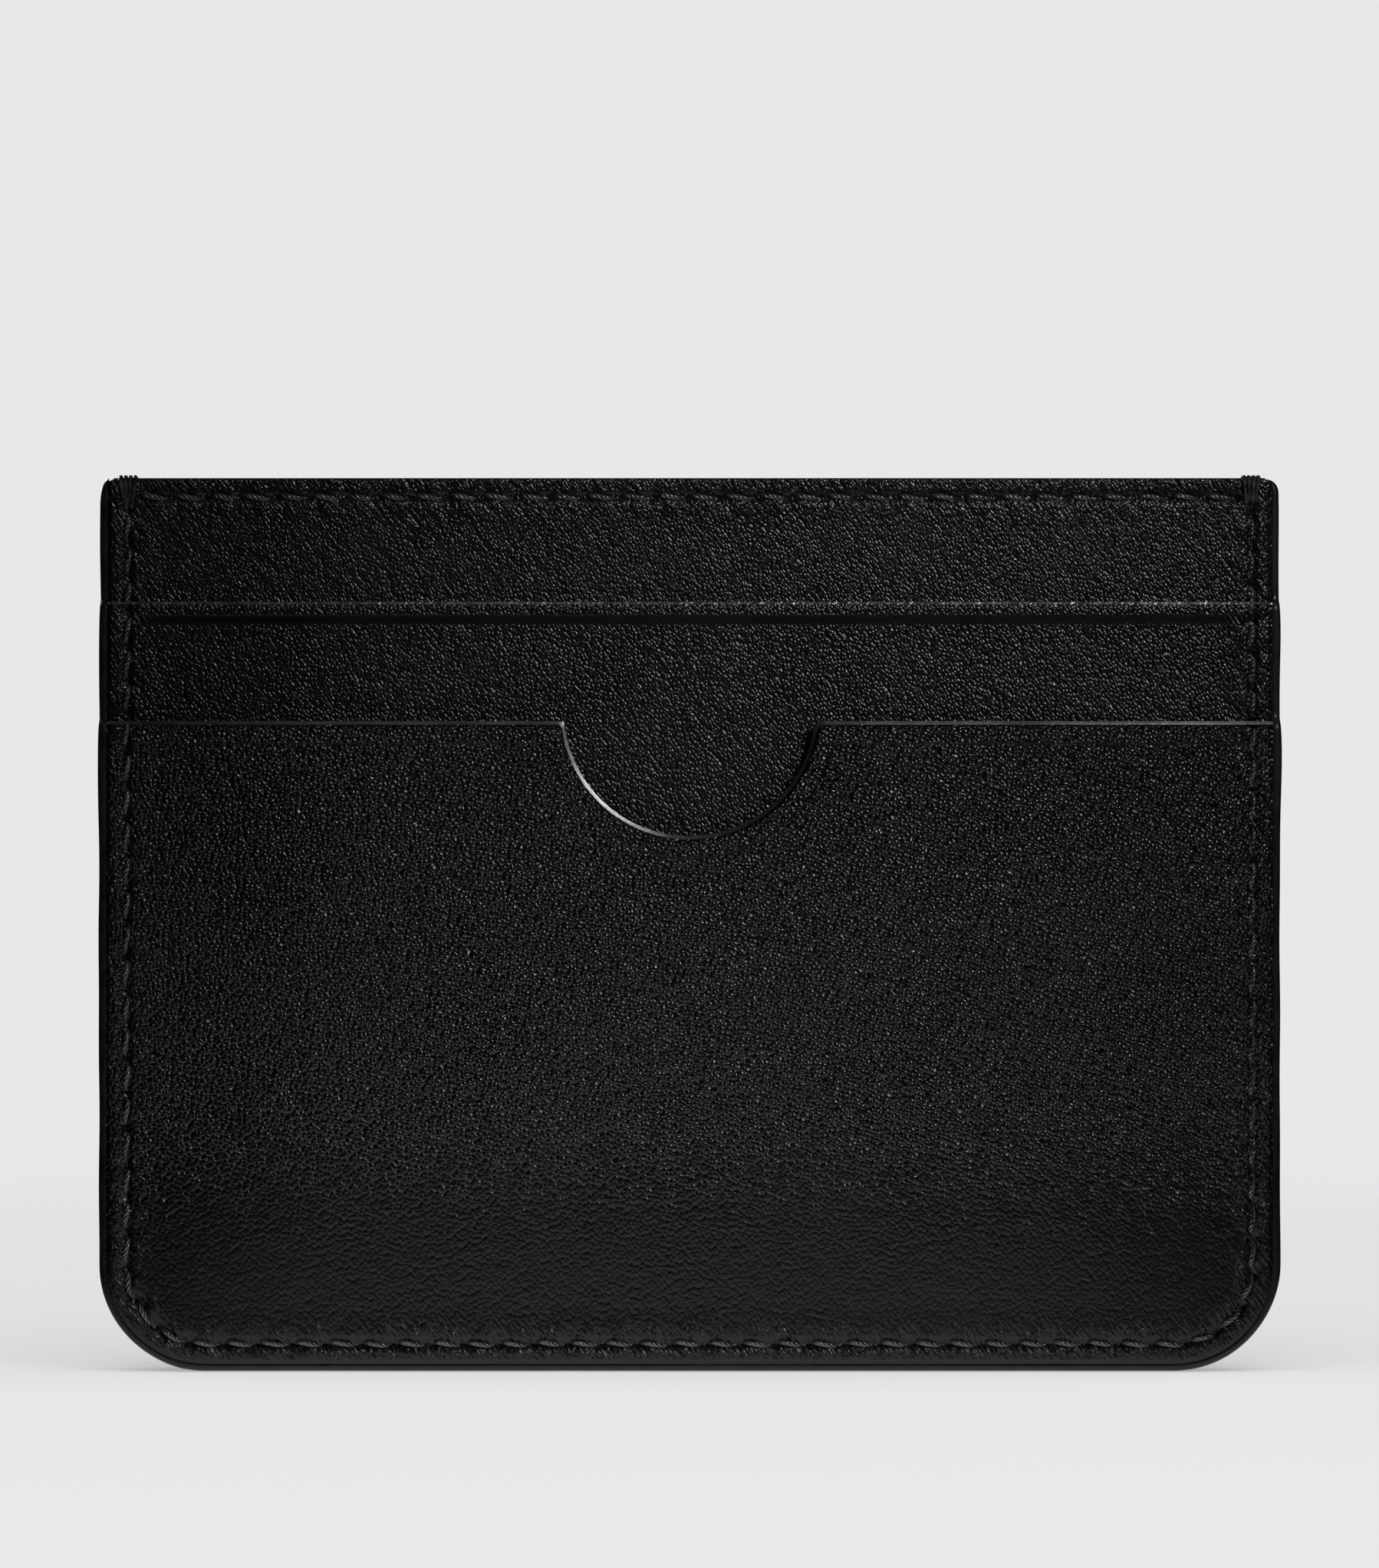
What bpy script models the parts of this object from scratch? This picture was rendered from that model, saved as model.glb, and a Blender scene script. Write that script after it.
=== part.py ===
"""Slim leather card holder, standing on its lower edge: two stepped card pockets on each side of a centre pocket.

Frame: +Z up, +X to the right seen from the front, and the front faces -Y. The origin is the middle of the lower edge.
Each half is a stack of flat sheets, worked out from the middle plane outwards. The sheets are bonded in pairs, leather
on lining, sewn together round the sides and the bottom, and closed there by one painted rim.
"""

import math

import bmesh
import bpy

MM = 0.001

# Overall sizes
WIDTH = 100.0 * MM
HEIGHT = 75.6 * MM
CORNER_RADIUS = 9.1 * MM  # outside, at the two lower corners
TOP_CORNER_RADIUS = 0.9 * MM

# The sheets
BODY_LEATHER = 0.6 * MM
POCKET_LEATHER = 0.5 * MM
LINING = 0.12 * MM
BOND_GAP = 0.05 * MM  # glue line between a leather and its lining
SLOT_GAP = 0.2 * MM  # how far an empty card slot stands open
CENTRE_GAP = 0.2 * MM

# The pocket mouths, measured down from the top edge
UPPER_MOUTH_DROP = 10.5 * MM
LOWER_MOUTH_DROP = 20.6 * MM
NOTCH_RADIUS = 10.6 * MM
NOTCH_RISE = 0.9 * MM  # height of the notch circle's centre above the mouth
NOTCH_FILLET = 1.0 * MM

# The T-shaped upper pocket, and the line at its foot that stops a card
CARD_WIDTH = 85.6 * MM  # the bank card that the pockets are made for
CARD_SIDE_CLEARANCE = 1.6 * MM
EAR_DEPTH = 10.0 * MM  # how far the T's ears reach below the lower mouth
TONGUE_FOOT = 12.7 * MM  # above the lower edge, so that an upper card shows for 4 mm
STOP_HEIGHT = 2.4 * MM
STOP_THICKNESS = 0.1 * MM

# The painted edges
RIM = 0.6 * MM
RIM_ROUNDING = 0.35 * MM
EDGE_COAT = 0.25 * MM
EDGE_GAP = 0.1 * MM

# The sewing
THREAD = 0.45 * MM
THREAD_GAP = 0.05 * MM
SEAM_INSET = 2.4 * MM  # side and bottom seam, from the outside of the rim
TOP_SEAM_DROP = 1.6 * MM
TACK_WIDTH = 1.4 * MM
TACK_LENGTH = 2.6 * MM  # how far a corner tack reaches down from the top edge
TACK_CLEARANCE = 0.3 * MM  # between a tack and the seams that end at it
STEP_LENGTH = 1.3 * MM  # height over which a seam climbs onto a pocket
STEP_CLEARANCE = 0.4 * MM

# Facets
CORNER_STEPS = 8
NOTCH_STEPS = 20
FILLET_STEPS = 4

FRONT = -1
BACK = 1
HALVES = (("front", FRONT), ("back", BACK))

UPPER_MOUTH = HEIGHT - UPPER_MOUTH_DROP
LOWER_MOUTH = HEIGHT - LOWER_MOUTH_DROP
SHEET_EDGE = RIM + EDGE_GAP  # how far the sheets end inside the rim's outer face
SHEET_HALF_WIDTH = WIDTH / 2 - SHEET_EDGE
SEAM_HALF_WIDTH = WIDTH / 2 - SEAM_INSET
STOP_TOP = TONGUE_FOOT + STOP_HEIGHT
TONGUE_HALF_WIDTH = CARD_WIDTH / 2 + CARD_SIDE_CLEARANCE

# name: colour, roughness, metallic
FINISHES = {
    "leather": ((0.012, 0.0125, 0.0125, 1.0), 0.45, 0.0),
    "lining": ((0.016, 0.016, 0.017, 1.0), 0.8, 0.0),
    "edge_paint": ((0.014, 0.0135, 0.013, 1.0), 0.38, 0.0),
    "thread": ((0.018, 0.019, 0.019, 1.0), 0.5, 0.0),
}


def clear_scene():
    for thing in list(bpy.data.objects):
        bpy.data.objects.remove(thing, do_unlink=True)


def collection_named(name, hidden=False):
    made = bpy.data.collections.new(name)
    made.hide_render = hidden
    bpy.context.scene.collection.children.link(made)
    return made


def stack_faces():
    """Distance from the middle plane to the inner and the outer face of each layer of one half."""
    layers = (
        ("panel_lining", LINING, BOND_GAP),
        ("panel", BODY_LEATHER, SLOT_GAP),
        ("upper_pocket_lining", LINING, BOND_GAP),
        ("upper_pocket", POCKET_LEATHER, SLOT_GAP),
        ("lower_pocket_lining", LINING, BOND_GAP),
        ("lower_pocket", POCKET_LEATHER, 0.0),
    )
    faces = {}
    inner = CENTRE_GAP / 2
    for name, thickness, gap_outside in layers:
        faces[name] = (inner, inner + thickness)
        inner += thickness + gap_outside
    return faces


FACES = stack_faces()


def finish(node, kind):
    """A material of the node's own, in one of the FINISHES."""
    colour, roughness, metallic = FINISHES[kind]
    made = bpy.data.materials.new(node.name + "_" + kind)
    made.use_nodes = True
    shader = made.node_tree.nodes["Principled BSDF"]
    shader.inputs["Base Color"].default_value = colour
    shader.inputs["Roughness"].default_value = roughness
    shader.inputs["Metallic"].default_value = metallic
    made.diffuse_color = colour
    node.data.materials.append(made)


def arc(centre, radius, start, end, steps):
    """Points along an arc, both ends included, with the angles in degrees from +X."""
    angles = [math.radians(start + (end - start) * i / steps) for i in range(steps + 1)]
    return [(centre[0] + radius * math.cos(a), centre[1] + radius * math.sin(a)) for a in angles]


def mirrored(points):
    """The same points on the other side of x = 0, in the opposite order."""
    return [(-x, z) for x, z in reversed(points)]


def rounded_foot(inset):
    """The lower outline inside the holder's own by inset, from the lower left corner to the lower right one."""
    radius = CORNER_RADIUS - inset
    centre = (CORNER_RADIUS - WIDTH / 2, CORNER_RADIUS)
    corner = arc(centre, radius, 180, 270, CORNER_STEPS)
    return corner + mirrored(corner)


def notched_mouth(height, drop):
    """A mouth with the thumb notch, from right to left. Drop is how far the line lies inside the leather."""
    centre = (0.0, height + NOTCH_RISE)
    fillet_z = height - NOTCH_FILLET
    fillet_x = math.sqrt((NOTCH_RADIUS + NOTCH_FILLET) ** 2 - (NOTCH_RISE + NOTCH_FILLET) ** 2)
    meeting = math.degrees(math.atan2(centre[1] - fillet_z, -fillet_x))
    fillet = arc((fillet_x, fillet_z), NOTCH_FILLET - drop, 90, meeting, FILLET_STEPS)
    half_notch = arc(centre, NOTCH_RADIUS + drop, meeting - 180, -90, NOTCH_STEPS // 2)
    right = fillet + half_notch[1:]
    return right + mirrored(right)[1:]


def straight_top(height):
    """A plain top edge from right to left, with its two small corners."""
    half = SHEET_HALF_WIDTH - TOP_CORNER_RADIUS
    corner = arc((half, height - TOP_CORNER_RADIUS), TOP_CORNER_RADIUS, 0, 90, FILLET_STEPS)
    return corner + mirrored(corner)


def mouth_line(height, drop, notched):
    """A pocket mouth from side to side, right to left, lowered into the leather by drop."""
    ends = [(SHEET_HALF_WIDTH, height - drop), (-SHEET_HALF_WIDTH, height - drop)]
    return [ends[0], *(notched_mouth(height, drop) if notched else []), ends[1]]


def extruded(name, outline, inner, outer, group, turn=(math.pi / 2, 0.0, 0.0)):
    """A flat piece: an outline in X and Z, filled and given the thickness from y = inner to y = outer."""
    curve = bpy.data.curves.new(name, "CURVE")
    curve.dimensions = "2D"
    curve.fill_mode = "BOTH"
    curve.extrude = abs(outer - inner) / 2
    spline = curve.splines.new("POLY")
    spline.points.add(len(outline) - 1)
    for point, (x, z) in zip(spline.points, outline):
        point.co = (x, z, 0.0, 1.0)
    spline.use_cyclic_u = True
    made = bpy.data.objects.new(name, curve)
    made.rotation_euler = turn
    made.location.y = (inner + outer) / 2
    group.objects.link(made)
    return made


def as_mesh(made, group):
    """The same shape as a mesh object, with its caps welded to its sides."""
    bpy.context.view_layer.update()
    evaluated = made.evaluated_get(bpy.context.evaluated_depsgraph_get())
    mesh = bpy.data.meshes.new_from_object(evaluated)
    shape = bmesh.new()
    shape.from_mesh(mesh)
    bmesh.ops.remove_doubles(shape, verts=shape.verts, dist=0.001 * MM)
    bmesh.ops.recalc_face_normals(shape, faces=shape.faces)
    shape.to_mesh(mesh)
    shape.free()
    name = made.name
    placed = made.matrix_world.copy()
    bpy.data.objects.remove(made, do_unlink=True)
    solid = bpy.data.objects.new(name, mesh)
    solid.matrix_world = placed
    group.objects.link(solid)
    return solid


def body_panel(half, side, group):
    """The sheet that the pockets are sewn to, with its lining and the coat of paint on its top edge."""
    top = HEIGHT - EDGE_COAT - EDGE_GAP
    outline = rounded_foot(SHEET_EDGE) + straight_top(top)
    for layer, kind in (("panel_lining", "lining"), ("panel", "leather")):
        inner, outer = FACES[layer]
        finish(extruded(f"{half}_{layer}", outline, side * inner, side * outer, group), kind)
    edge_half = SHEET_HALF_WIDTH - TOP_CORNER_RADIUS
    coat = [(edge_half, HEIGHT), (-edge_half, HEIGHT)]
    coat += [(-edge_half, HEIGHT - EDGE_COAT), (edge_half, HEIGHT - EDGE_COAT)]
    inner, outer = FACES["panel_lining"][0], FACES["panel"][1]
    finish(extruded(f"{half}_panel_edge", coat, side * inner, side * outer, group), "edge_paint")


def mouth_coat(half, side, pocket, height, notched, group):
    """The painted edge along a pocket's mouth, over its leather and its lining."""
    below = mouth_line(height, EDGE_COAT, notched)
    outline = mouth_line(height, 0.0, notched) + below[::-1]
    inner, outer = FACES[pocket + "_lining"][0], FACES[pocket][1]
    finish(extruded(f"{half}_{pocket}_edge", outline, side * inner, side * outer, group), "edge_paint")


def lower_pocket(half, side, group):
    """The outer pocket, as wide and as deep as the holder, with the thumb notch in its mouth."""
    outline = rounded_foot(SHEET_EDGE) + mouth_line(LOWER_MOUTH, EDGE_COAT + EDGE_GAP, True)
    for layer, kind in (("lower_pocket_lining", "lining"), ("lower_pocket", "leather")):
        inner, outer = FACES[layer]
        finish(extruded(f"{half}_{layer}", outline, side * inner, side * outer, group), kind)
    mouth_coat(half, side, "lower_pocket", LOWER_MOUTH, True, group)


def upper_pocket(half, side, group):
    """The inner pocket: a T whose ears are caught in the side seams and whose tongue hangs down to the card stop."""
    ears_foot = LOWER_MOUTH - EAR_DEPTH
    tee = [(TONGUE_HALF_WIDTH, TONGUE_FOOT), (TONGUE_HALF_WIDTH, ears_foot), (SHEET_HALF_WIDTH, ears_foot)]
    outline = mirrored(tee) + tee + mouth_line(UPPER_MOUTH, EDGE_COAT + EDGE_GAP, False)
    for layer, kind in (("upper_pocket_lining", "lining"), ("upper_pocket", "leather")):
        inner, outer = FACES[layer]
        finish(extruded(f"{half}_{layer}", outline, side * inner, side * outer, group), kind)
    mouth_coat(half, side, "upper_pocket", UPPER_MOUTH, False, group)


def card_stop(half, side, group):
    """The hidden line, sewn and bonded, that joins the tongue's foot to the panel and stops an upper card."""
    left, right = -TONGUE_HALF_WIDTH, TONGUE_HALF_WIDTH
    outline = [(left, TONGUE_FOOT), (right, TONGUE_FOOT), (right, STOP_TOP), (left, STOP_TOP)]
    middle = (FACES["panel"][1] + FACES["upper_pocket_lining"][0]) / 2
    inner, outer = middle - STOP_THICKNESS / 2, middle + STOP_THICKNESS / 2
    finish(extruded(f"{half}_card_stop_seam", outline, side * inner, side * outer, group), "thread")


def step_cutter(name, side, height, inner, helpers):
    """A block that takes the rim back to y = inner above height, on one side."""
    spare = 1.0 * MM
    depth = FACES["lower_pocket"][1] + spare - inner
    top = HEIGHT + spare
    middle = (0.0, side * (inner + depth / 2), (height + top) / 2)
    bpy.ops.mesh.primitive_cube_add(size=1.0, location=middle)
    cutter = bpy.context.object
    cutter.name = name
    cutter.scale = (WIDTH + 2 * spare, depth, top - height)
    bpy.ops.object.transform_apply(location=False, rotation=False, scale=True)
    for owner in list(cutter.users_collection):
        owner.objects.unlink(cutter)
    helpers.objects.link(cutter)
    cutter.hide_render = True
    cutter.display_type = "WIRE"
    return cutter


def painted_rim(group, helpers):
    """The painted edge round the sides and the bottom, stepped where each pocket begins."""
    outside, inside = WIDTH / 2, WIDTH / 2 - RIM
    outline = [(-outside, HEIGHT), *rounded_foot(0.0), (outside, HEIGHT)]
    outline += [(inside, HEIGHT), *reversed(rounded_foot(RIM)), (-inside, HEIGHT)]
    reach = FACES["lower_pocket"][1]
    rim = as_mesh(extruded("painted_rim", outline, -reach, reach, group), group)
    for half, side in HALVES:
        for pocket, height, floor in (
            ("upper", UPPER_MOUTH, FACES["panel"][1]),
            ("lower", LOWER_MOUTH, FACES["upper_pocket"][1]),
        ):
            cut = rim.modifiers.new(f"{half}_{pocket}_step", "BOOLEAN")
            cut.operation = "DIFFERENCE"
            cut.object = step_cutter(f"{half}_{pocket}_step_cutter", side, height, floor, helpers)
    rounding = rim.modifiers.new("rounding", "BEVEL")
    rounding.width = min(RIM_ROUNDING, 0.7 * RIM)
    rounding.segments = 2
    rounding.limit_method = "ANGLE"
    rounding.angle_limit = math.radians(50)
    rounding.use_clamp_overlap = True
    finish(rim, "edge_paint")


def thread(name, route, group):
    """A sewing thread along a list of points in X, Y and Z."""
    curve = bpy.data.curves.new(name, "CURVE")
    curve.dimensions = "3D"
    curve.bevel_depth = THREAD / 2
    curve.bevel_resolution = 2
    curve.use_fill_caps = True
    spline = curve.splines.new("POLY")
    spline.points.add(len(route) - 1)
    for point, place in zip(spline.points, route):
        point.co = (*place, 1.0)
    made = bpy.data.objects.new(name, curve)
    group.objects.link(made)
    finish(made, "thread")


def on_top_of(layer, side):
    """Where a thread's centre lies when it rests on this layer."""
    return side * (FACES[layer][1] + THREAD_GAP + THREAD / 2)


def perimeter_seam(half, side, group):
    """The seam down one side, round the bottom and up the other, climbing onto each pocket at its mouth."""
    start = HEIGHT - TACK_LENGTH - TACK_CLEARANCE
    levels = [on_top_of(layer, side) for layer in ("panel", "upper_pocket", "lower_pocket")]
    down = [(start, levels[0])]
    for mouth, before, after in (
        (UPPER_MOUTH, levels[0], levels[1]),
        (LOWER_MOUTH, levels[1], levels[2]),
    ):
        down.append((mouth + STEP_CLEARANCE + STEP_LENGTH, before))
        down.append((mouth + STEP_CLEARANCE, after))
    left = [(-SEAM_HALF_WIDTH, y, z) for z, y in down]
    foot = [(x, levels[2], z) for x, z in rounded_foot(SEAM_INSET)]
    right = [(-x, y, z) for x, y, z in reversed(left)]
    thread(f"{half}_perimeter_stitching", left + foot + right, group)


def top_seam(half, side, group):
    """The seam along a panel's top edge, ending short of the corner tacks."""
    end = SEAM_HALF_WIDTH - TACK_WIDTH / 2 - TACK_CLEARANCE
    height = HEIGHT - TOP_SEAM_DROP
    route = [(x, on_top_of("panel", side), height) for x in (-end, end)]
    thread(f"{half}_top_stitching", route, group)


def corner_tack(name, x, group):
    """Thread wound over the top edge at a corner, through both panels, to hold the centre pocket's mouth."""
    inner = FACES["panel"][1] + THREAD_GAP
    foot = HEIGHT - TACK_LENGTH
    crown = HEIGHT + THREAD_GAP
    outline = [(-inner - THREAD, foot)]
    outline += arc((-inner, crown), THREAD, 180, 90, FILLET_STEPS)
    outline += arc((inner, crown), THREAD, 90, 0, FILLET_STEPS)
    outline += [(inner + THREAD, foot), (inner, foot), (inner, crown), (-inner, crown), (-inner, foot)]
    made = extruded(name, outline, 0.0, TACK_WIDTH, group, (math.pi / 2, 0.0, math.pi / 2))
    made.location = (x, 0.0, 0.0)
    finish(made, "thread")


def build():
    clear_scene()
    group = collection_named("card_holder")
    helpers = collection_named("cutters", hidden=True)
    for half, side in HALVES:
        body_panel(half, side, group)
        upper_pocket(half, side, group)
        card_stop(half, side, group)
        lower_pocket(half, side, group)
        top_seam(half, side, group)
        perimeter_seam(half, side, group)
    painted_rim(group, helpers)
    corner_tack("left_corner_tack", -SEAM_HALF_WIDTH, group)
    corner_tack("right_corner_tack", SEAM_HALF_WIDTH, group)


build()
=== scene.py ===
"""Looks of a slim leather card holder: sewn leather, linings, painted edges, stitches and corner tacks.

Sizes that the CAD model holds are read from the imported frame. What is named here is what the CAD model
leaves out: the grain, the creases, the pucker along the seams, the swell of the leather between them and
the plies of the thread.

A half of the holder is shaped in its own terms: x across, z up, and forward, the distance from the middle
plane towards the viewer of that half. The front half is then stood at y = -forward, and the back half is
the same turned half a turn round the z axis.
"""

import logging
import math
from collections.abc import Callable, Sequence
from dataclasses import dataclass
from enum import Enum

import bpy
import numpy as np
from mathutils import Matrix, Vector


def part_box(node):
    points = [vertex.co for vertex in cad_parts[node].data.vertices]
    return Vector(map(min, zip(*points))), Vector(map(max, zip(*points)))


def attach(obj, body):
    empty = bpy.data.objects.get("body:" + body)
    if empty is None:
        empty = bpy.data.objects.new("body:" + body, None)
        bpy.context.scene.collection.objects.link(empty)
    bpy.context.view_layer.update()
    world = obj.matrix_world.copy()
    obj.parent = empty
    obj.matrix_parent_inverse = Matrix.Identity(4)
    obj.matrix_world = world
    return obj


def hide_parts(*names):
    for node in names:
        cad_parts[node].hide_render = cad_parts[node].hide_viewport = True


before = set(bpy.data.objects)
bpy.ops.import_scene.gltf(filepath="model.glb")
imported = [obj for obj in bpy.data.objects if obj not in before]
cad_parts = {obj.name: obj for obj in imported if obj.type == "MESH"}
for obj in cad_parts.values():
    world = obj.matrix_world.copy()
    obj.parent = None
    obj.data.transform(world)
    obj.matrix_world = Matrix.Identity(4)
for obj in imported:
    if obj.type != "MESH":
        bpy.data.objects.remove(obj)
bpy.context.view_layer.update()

log = logging.getLogger("card_holder")

MM = 0.001
TOUCHING = 0.0001 * MM
SHEET_BEND, PAINT_BEND, THREAD_BEND = 40.0, 50.0, 80.0  # the sharpest bends shaded smooth, in degrees
PRESSED = "pressed"  # a mesh attribute: where heat or a blade has flattened the grain
GATHERED = "gathered"  # a mesh attribute: where the seams draw the leather into small folds

Array = np.ndarray
Placer = Callable[[Array, Array, Array], Array]


class Half(Enum):
    """The two halves of the holder."""

    FRONT = "front"
    BACK = "back"

    def own(self, name: str) -> str:
        """The full name of one of this half's CAD nodes or pieces."""
        return f"{self.value}_{name}"


class Slot(Enum):
    """The record's material slots."""

    LEATHER = "leather"
    LINING = "lining"
    EDGE_PAINT = "edge_paint"
    THREAD = "thread"


class Reach(Enum):
    """What a studio light falls on."""

    HOLDER = "holder"
    STAGE = "stage"


class Layer(Enum):
    """The leathers of one half, from the middle of the holder outwards."""

    PANEL = "panel"
    UPPER = "upper_pocket"
    LOWER = "lower_pocket"


# --------------------------------------------------------------------------------------------------
# Shapes and fields
# --------------------------------------------------------------------------------------------------


def ramp(value: Array | float, low: float, high: float) -> Array:
    """A smooth step from 0 at low to 1 at high.

    Args:
        value: Where to read the step.
        low: Where it starts.
        high: Where it ends, which may be below low.

    Returns:
        The step's height at each value.
    """
    share = np.clip((np.asarray(value, float) - low) / (high - low), 0.0, 1.0)
    return share * share * (3.0 - 2.0 * share)


def bell(value: Array | float, width: float) -> Array:
    """A smooth bump of height 1 at 0, which has sunk to 1/e at width."""
    return np.exp(-((np.asarray(value, float) / width) ** 2))


def graded(*stretches: tuple[float, float]) -> Array:
    """Lines for a grid, closer where a shape needs them.

    Args:
        stretches: Pairs of an end and the step used to reach it. The first pair's end is the start of all.

    Returns:
        The lines' places in rising order.
    """
    lines = [stretches[0][0]]
    for end, step in stretches[1:]:
        count = max(1, math.ceil((end - lines[-1]) / step - 1e-6))
        lines.extend(np.linspace(lines[-1], end, count + 1)[1:])
    return np.array(lines)


@dataclass(frozen=True)
class Plan:
    """The holder's sizes, in metres, most of them read from the frame.

    Attributes:
        half_width: From the middle to the outside of the rim.
        height: The leather's top edge.
        mouths: The height of each leather's upper edge.
        faces: Each layer's inner and outer distance from the middle plane.
        thread: The thread's diameter.
        seam_half_width: From the middle to the side seams.
        seam_start: Where a side seam begins, below the corner tack.
        top_seam: The height of the seam along the top.
        top_reach: Half its length.
        tongue_foot: The lower end of the upper pocket's tongue.
        tongue_half_width: Half the width of that tongue.
        corner_radius: Of the two lower corners, outside.
        notch_radius: Of the thumb notch.
        notch_rise: Height of the notch's centre above the mouth.
        notch_corners: How soft its left and right corners are.
        rim: How far the painted rim reaches inwards from the outside.
        sheet_edge: Where the sheets end, just inside the rim.
        coat: The height of the paint on a mouth.
        ear_depth: How far the upper pocket's ears reach below the lower mouth.
    """

    half_width: float
    height: float
    mouths: dict[Layer, float]
    faces: dict[str, tuple[float, float]]
    thread: float
    seam_half_width: float
    seam_start: float
    top_seam: float
    top_reach: float
    tongue_foot: float
    tongue_half_width: float
    corner_radius: float = 9.1 * MM
    notch_radius: float = 10.6 * MM
    notch_rise: float = 0.9 * MM
    notch_corners: tuple[float, float] = (0.12 * MM, 0.5 * MM)
    rim: float = 0.68 * MM
    sheet_edge: float = 0.7 * MM
    coat: float = 0.25 * MM
    ear_depth: float = 10.0 * MM

    @classmethod
    def from_frame(cls) -> "Plan":
        """Reads the sizes from the CAD nodes' boxes.

        Returns:
            The plan of both halves, which are alike.
        """
        faces = {}
        for layer in Layer:
            for name in (layer.value, layer.value + "_lining"):
                low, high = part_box(Half.FRONT.own(name))
                faces[name] = (-high.y, -low.y)
        mouths = {layer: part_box(Half.FRONT.own(layer.value + "_edge"))[1].z for layer in Layer}
        seam_low, seam_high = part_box(Half.FRONT.own("top_stitching"))
        side_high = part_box(Half.FRONT.own("perimeter_stitching"))[1]
        thread = seam_high.z - seam_low.z
        return cls(
            half_width=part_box("painted_rim")[1].x,
            height=mouths[Layer.PANEL],
            mouths=mouths,
            faces=faces,
            thread=thread,
            seam_half_width=side_high.x - thread / 2,
            seam_start=side_high.z,
            top_seam=(seam_low.z + seam_high.z) / 2,
            top_reach=seam_high.x,
            tongue_foot=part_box(Half.FRONT.own(Layer.UPPER.value))[0].z,
            tongue_half_width=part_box(Half.FRONT.own("card_stop_seam"))[1].x,
        )

    @property
    def seam_inset(self) -> float:
        """How far the side and bottom seam lies in from the outside."""
        return self.half_width - self.seam_half_width

    @property
    def sheet_half_width(self) -> float:
        """Half the width of the leathers and their linings."""
        return self.half_width - self.sheet_edge

    def inset(self, x: Array, z: Array) -> Array:
        """How far points lie inside the holder's sides and foot.

        Args:
            x: Across.
            z: Up.

        Returns:
            The distances, square to the outline and below 0 outside it.
        """
        across = np.abs(x) - (self.half_width - self.corner_radius)
        below = self.corner_radius - z
        outside = np.hypot(np.maximum(across, 0.0), np.maximum(below, 0.0))
        return self.corner_radius - np.minimum(np.maximum(across, below), 0.0) - outside

    def round_feet(self, x: Array, z: Array) -> tuple[Array, Array]:
        """Bends a square grid's lower corners to the holder's round ones.

        Args:
            x: Across.
            z: Up.

        Returns:
            The bent x and z. Lines that were a distance from the square outline keep it from the round
            one.
        """
        flat = self.half_width - self.corner_radius
        return rounded_corner(x, z, flat, self.corner_radius, self.corner_radius, -1.0)

    def round_shoulders(self, x: Array, z: Array, top: float, radius: float) -> tuple[Array, Array]:
        """The same for a sheet's two small upper corners.

        Args:
            x: Across.
            z: Up.
            top: The sheet's upper edge.
            radius: Of its corners.

        Returns:
            The bent x and z.
        """
        return rounded_corner(x, z, self.sheet_half_width - radius, top - radius, radius, 1.0)

    def notched(self, x: Array, drop: Array) -> tuple[Array, Array]:
        """Bends straight lines below the lower mouth round the thumb notch.

        Args:
            x: Across, on a straight line.
            drop: The line's distance from the mouth.

        Returns:
            The bent x and z. Close to the mouth the distance stays true, and far below it the lines are
            level.
        """
        soft = np.where(x < 0.0, *self.notch_corners)
        spots = [self._notched_sharp(x + shift * soft, drop) for shift in (-1.0, -0.5, 0.0, 0.5, 1.0)]
        mean_x = sum(spot[0] for spot in spots) / len(spots)
        mean_z = sum(spot[1] for spot in spots) / len(spots)
        return mean_x, mean_z

    def _notched_sharp(self, x: Array, drop: Array) -> tuple[Array, Array]:
        """The bend of notched() with sharp corners.

        Args:
            x: Across, on a straight line.
            drop: The line's distance from the mouth.

        Returns:
            The bent x and z.
        """
        follow, level_again = 3.0 * MM, 36.0 * MM
        mouth = self.mouths[Layer.LOWER]
        near = np.minimum(drop, follow)
        radius = self.notch_radius + near
        reach = self.notch_rise + near
        corner = np.sqrt(radius**2 - reach**2)
        first_corner = math.sqrt(self.notch_radius**2 - self.notch_rise**2)
        swing = np.clip(x / first_corner, -1.0, 1.0) * np.arctan2(corner, reach)
        stretch = (self.sheet_half_width - corner) / (self.sheet_half_width - first_corner)
        outer = np.sign(x) * (corner + (np.abs(x) - first_corner) * stretch)
        within = np.abs(x) < first_corner
        bent_x = np.where(within, radius * np.sin(swing), outer)
        bent_z = np.where(within, mouth + self.notch_rise - radius * np.cos(swing), mouth - near)
        bent_z = bent_z - (drop - near)
        level = ramp(drop, follow, level_again)
        return bent_x + (x - bent_x) * level, bent_z + (mouth - drop - bent_z) * level

    def level(self, z: Array, softness: float) -> Array:
        """The outermost leather's distance from the middle plane at a height, along the sides.

        Args:
            z: Up.
            softness: Half the height over which one leather gives way to the next.

        Returns:
            The distance, with soft steps at the two pocket mouths.
        """
        below = self.faces[Layer.PANEL.value][1]
        found = np.full(np.shape(z), below)
        for layer in (Layer.UPPER, Layer.LOWER):
            outer = self.faces[layer.value][1]
            mouth = self.mouths[layer]
            found = found + (outer - below) * ramp(z, mouth + softness, mouth - softness)
            below = outer
        return found


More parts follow.
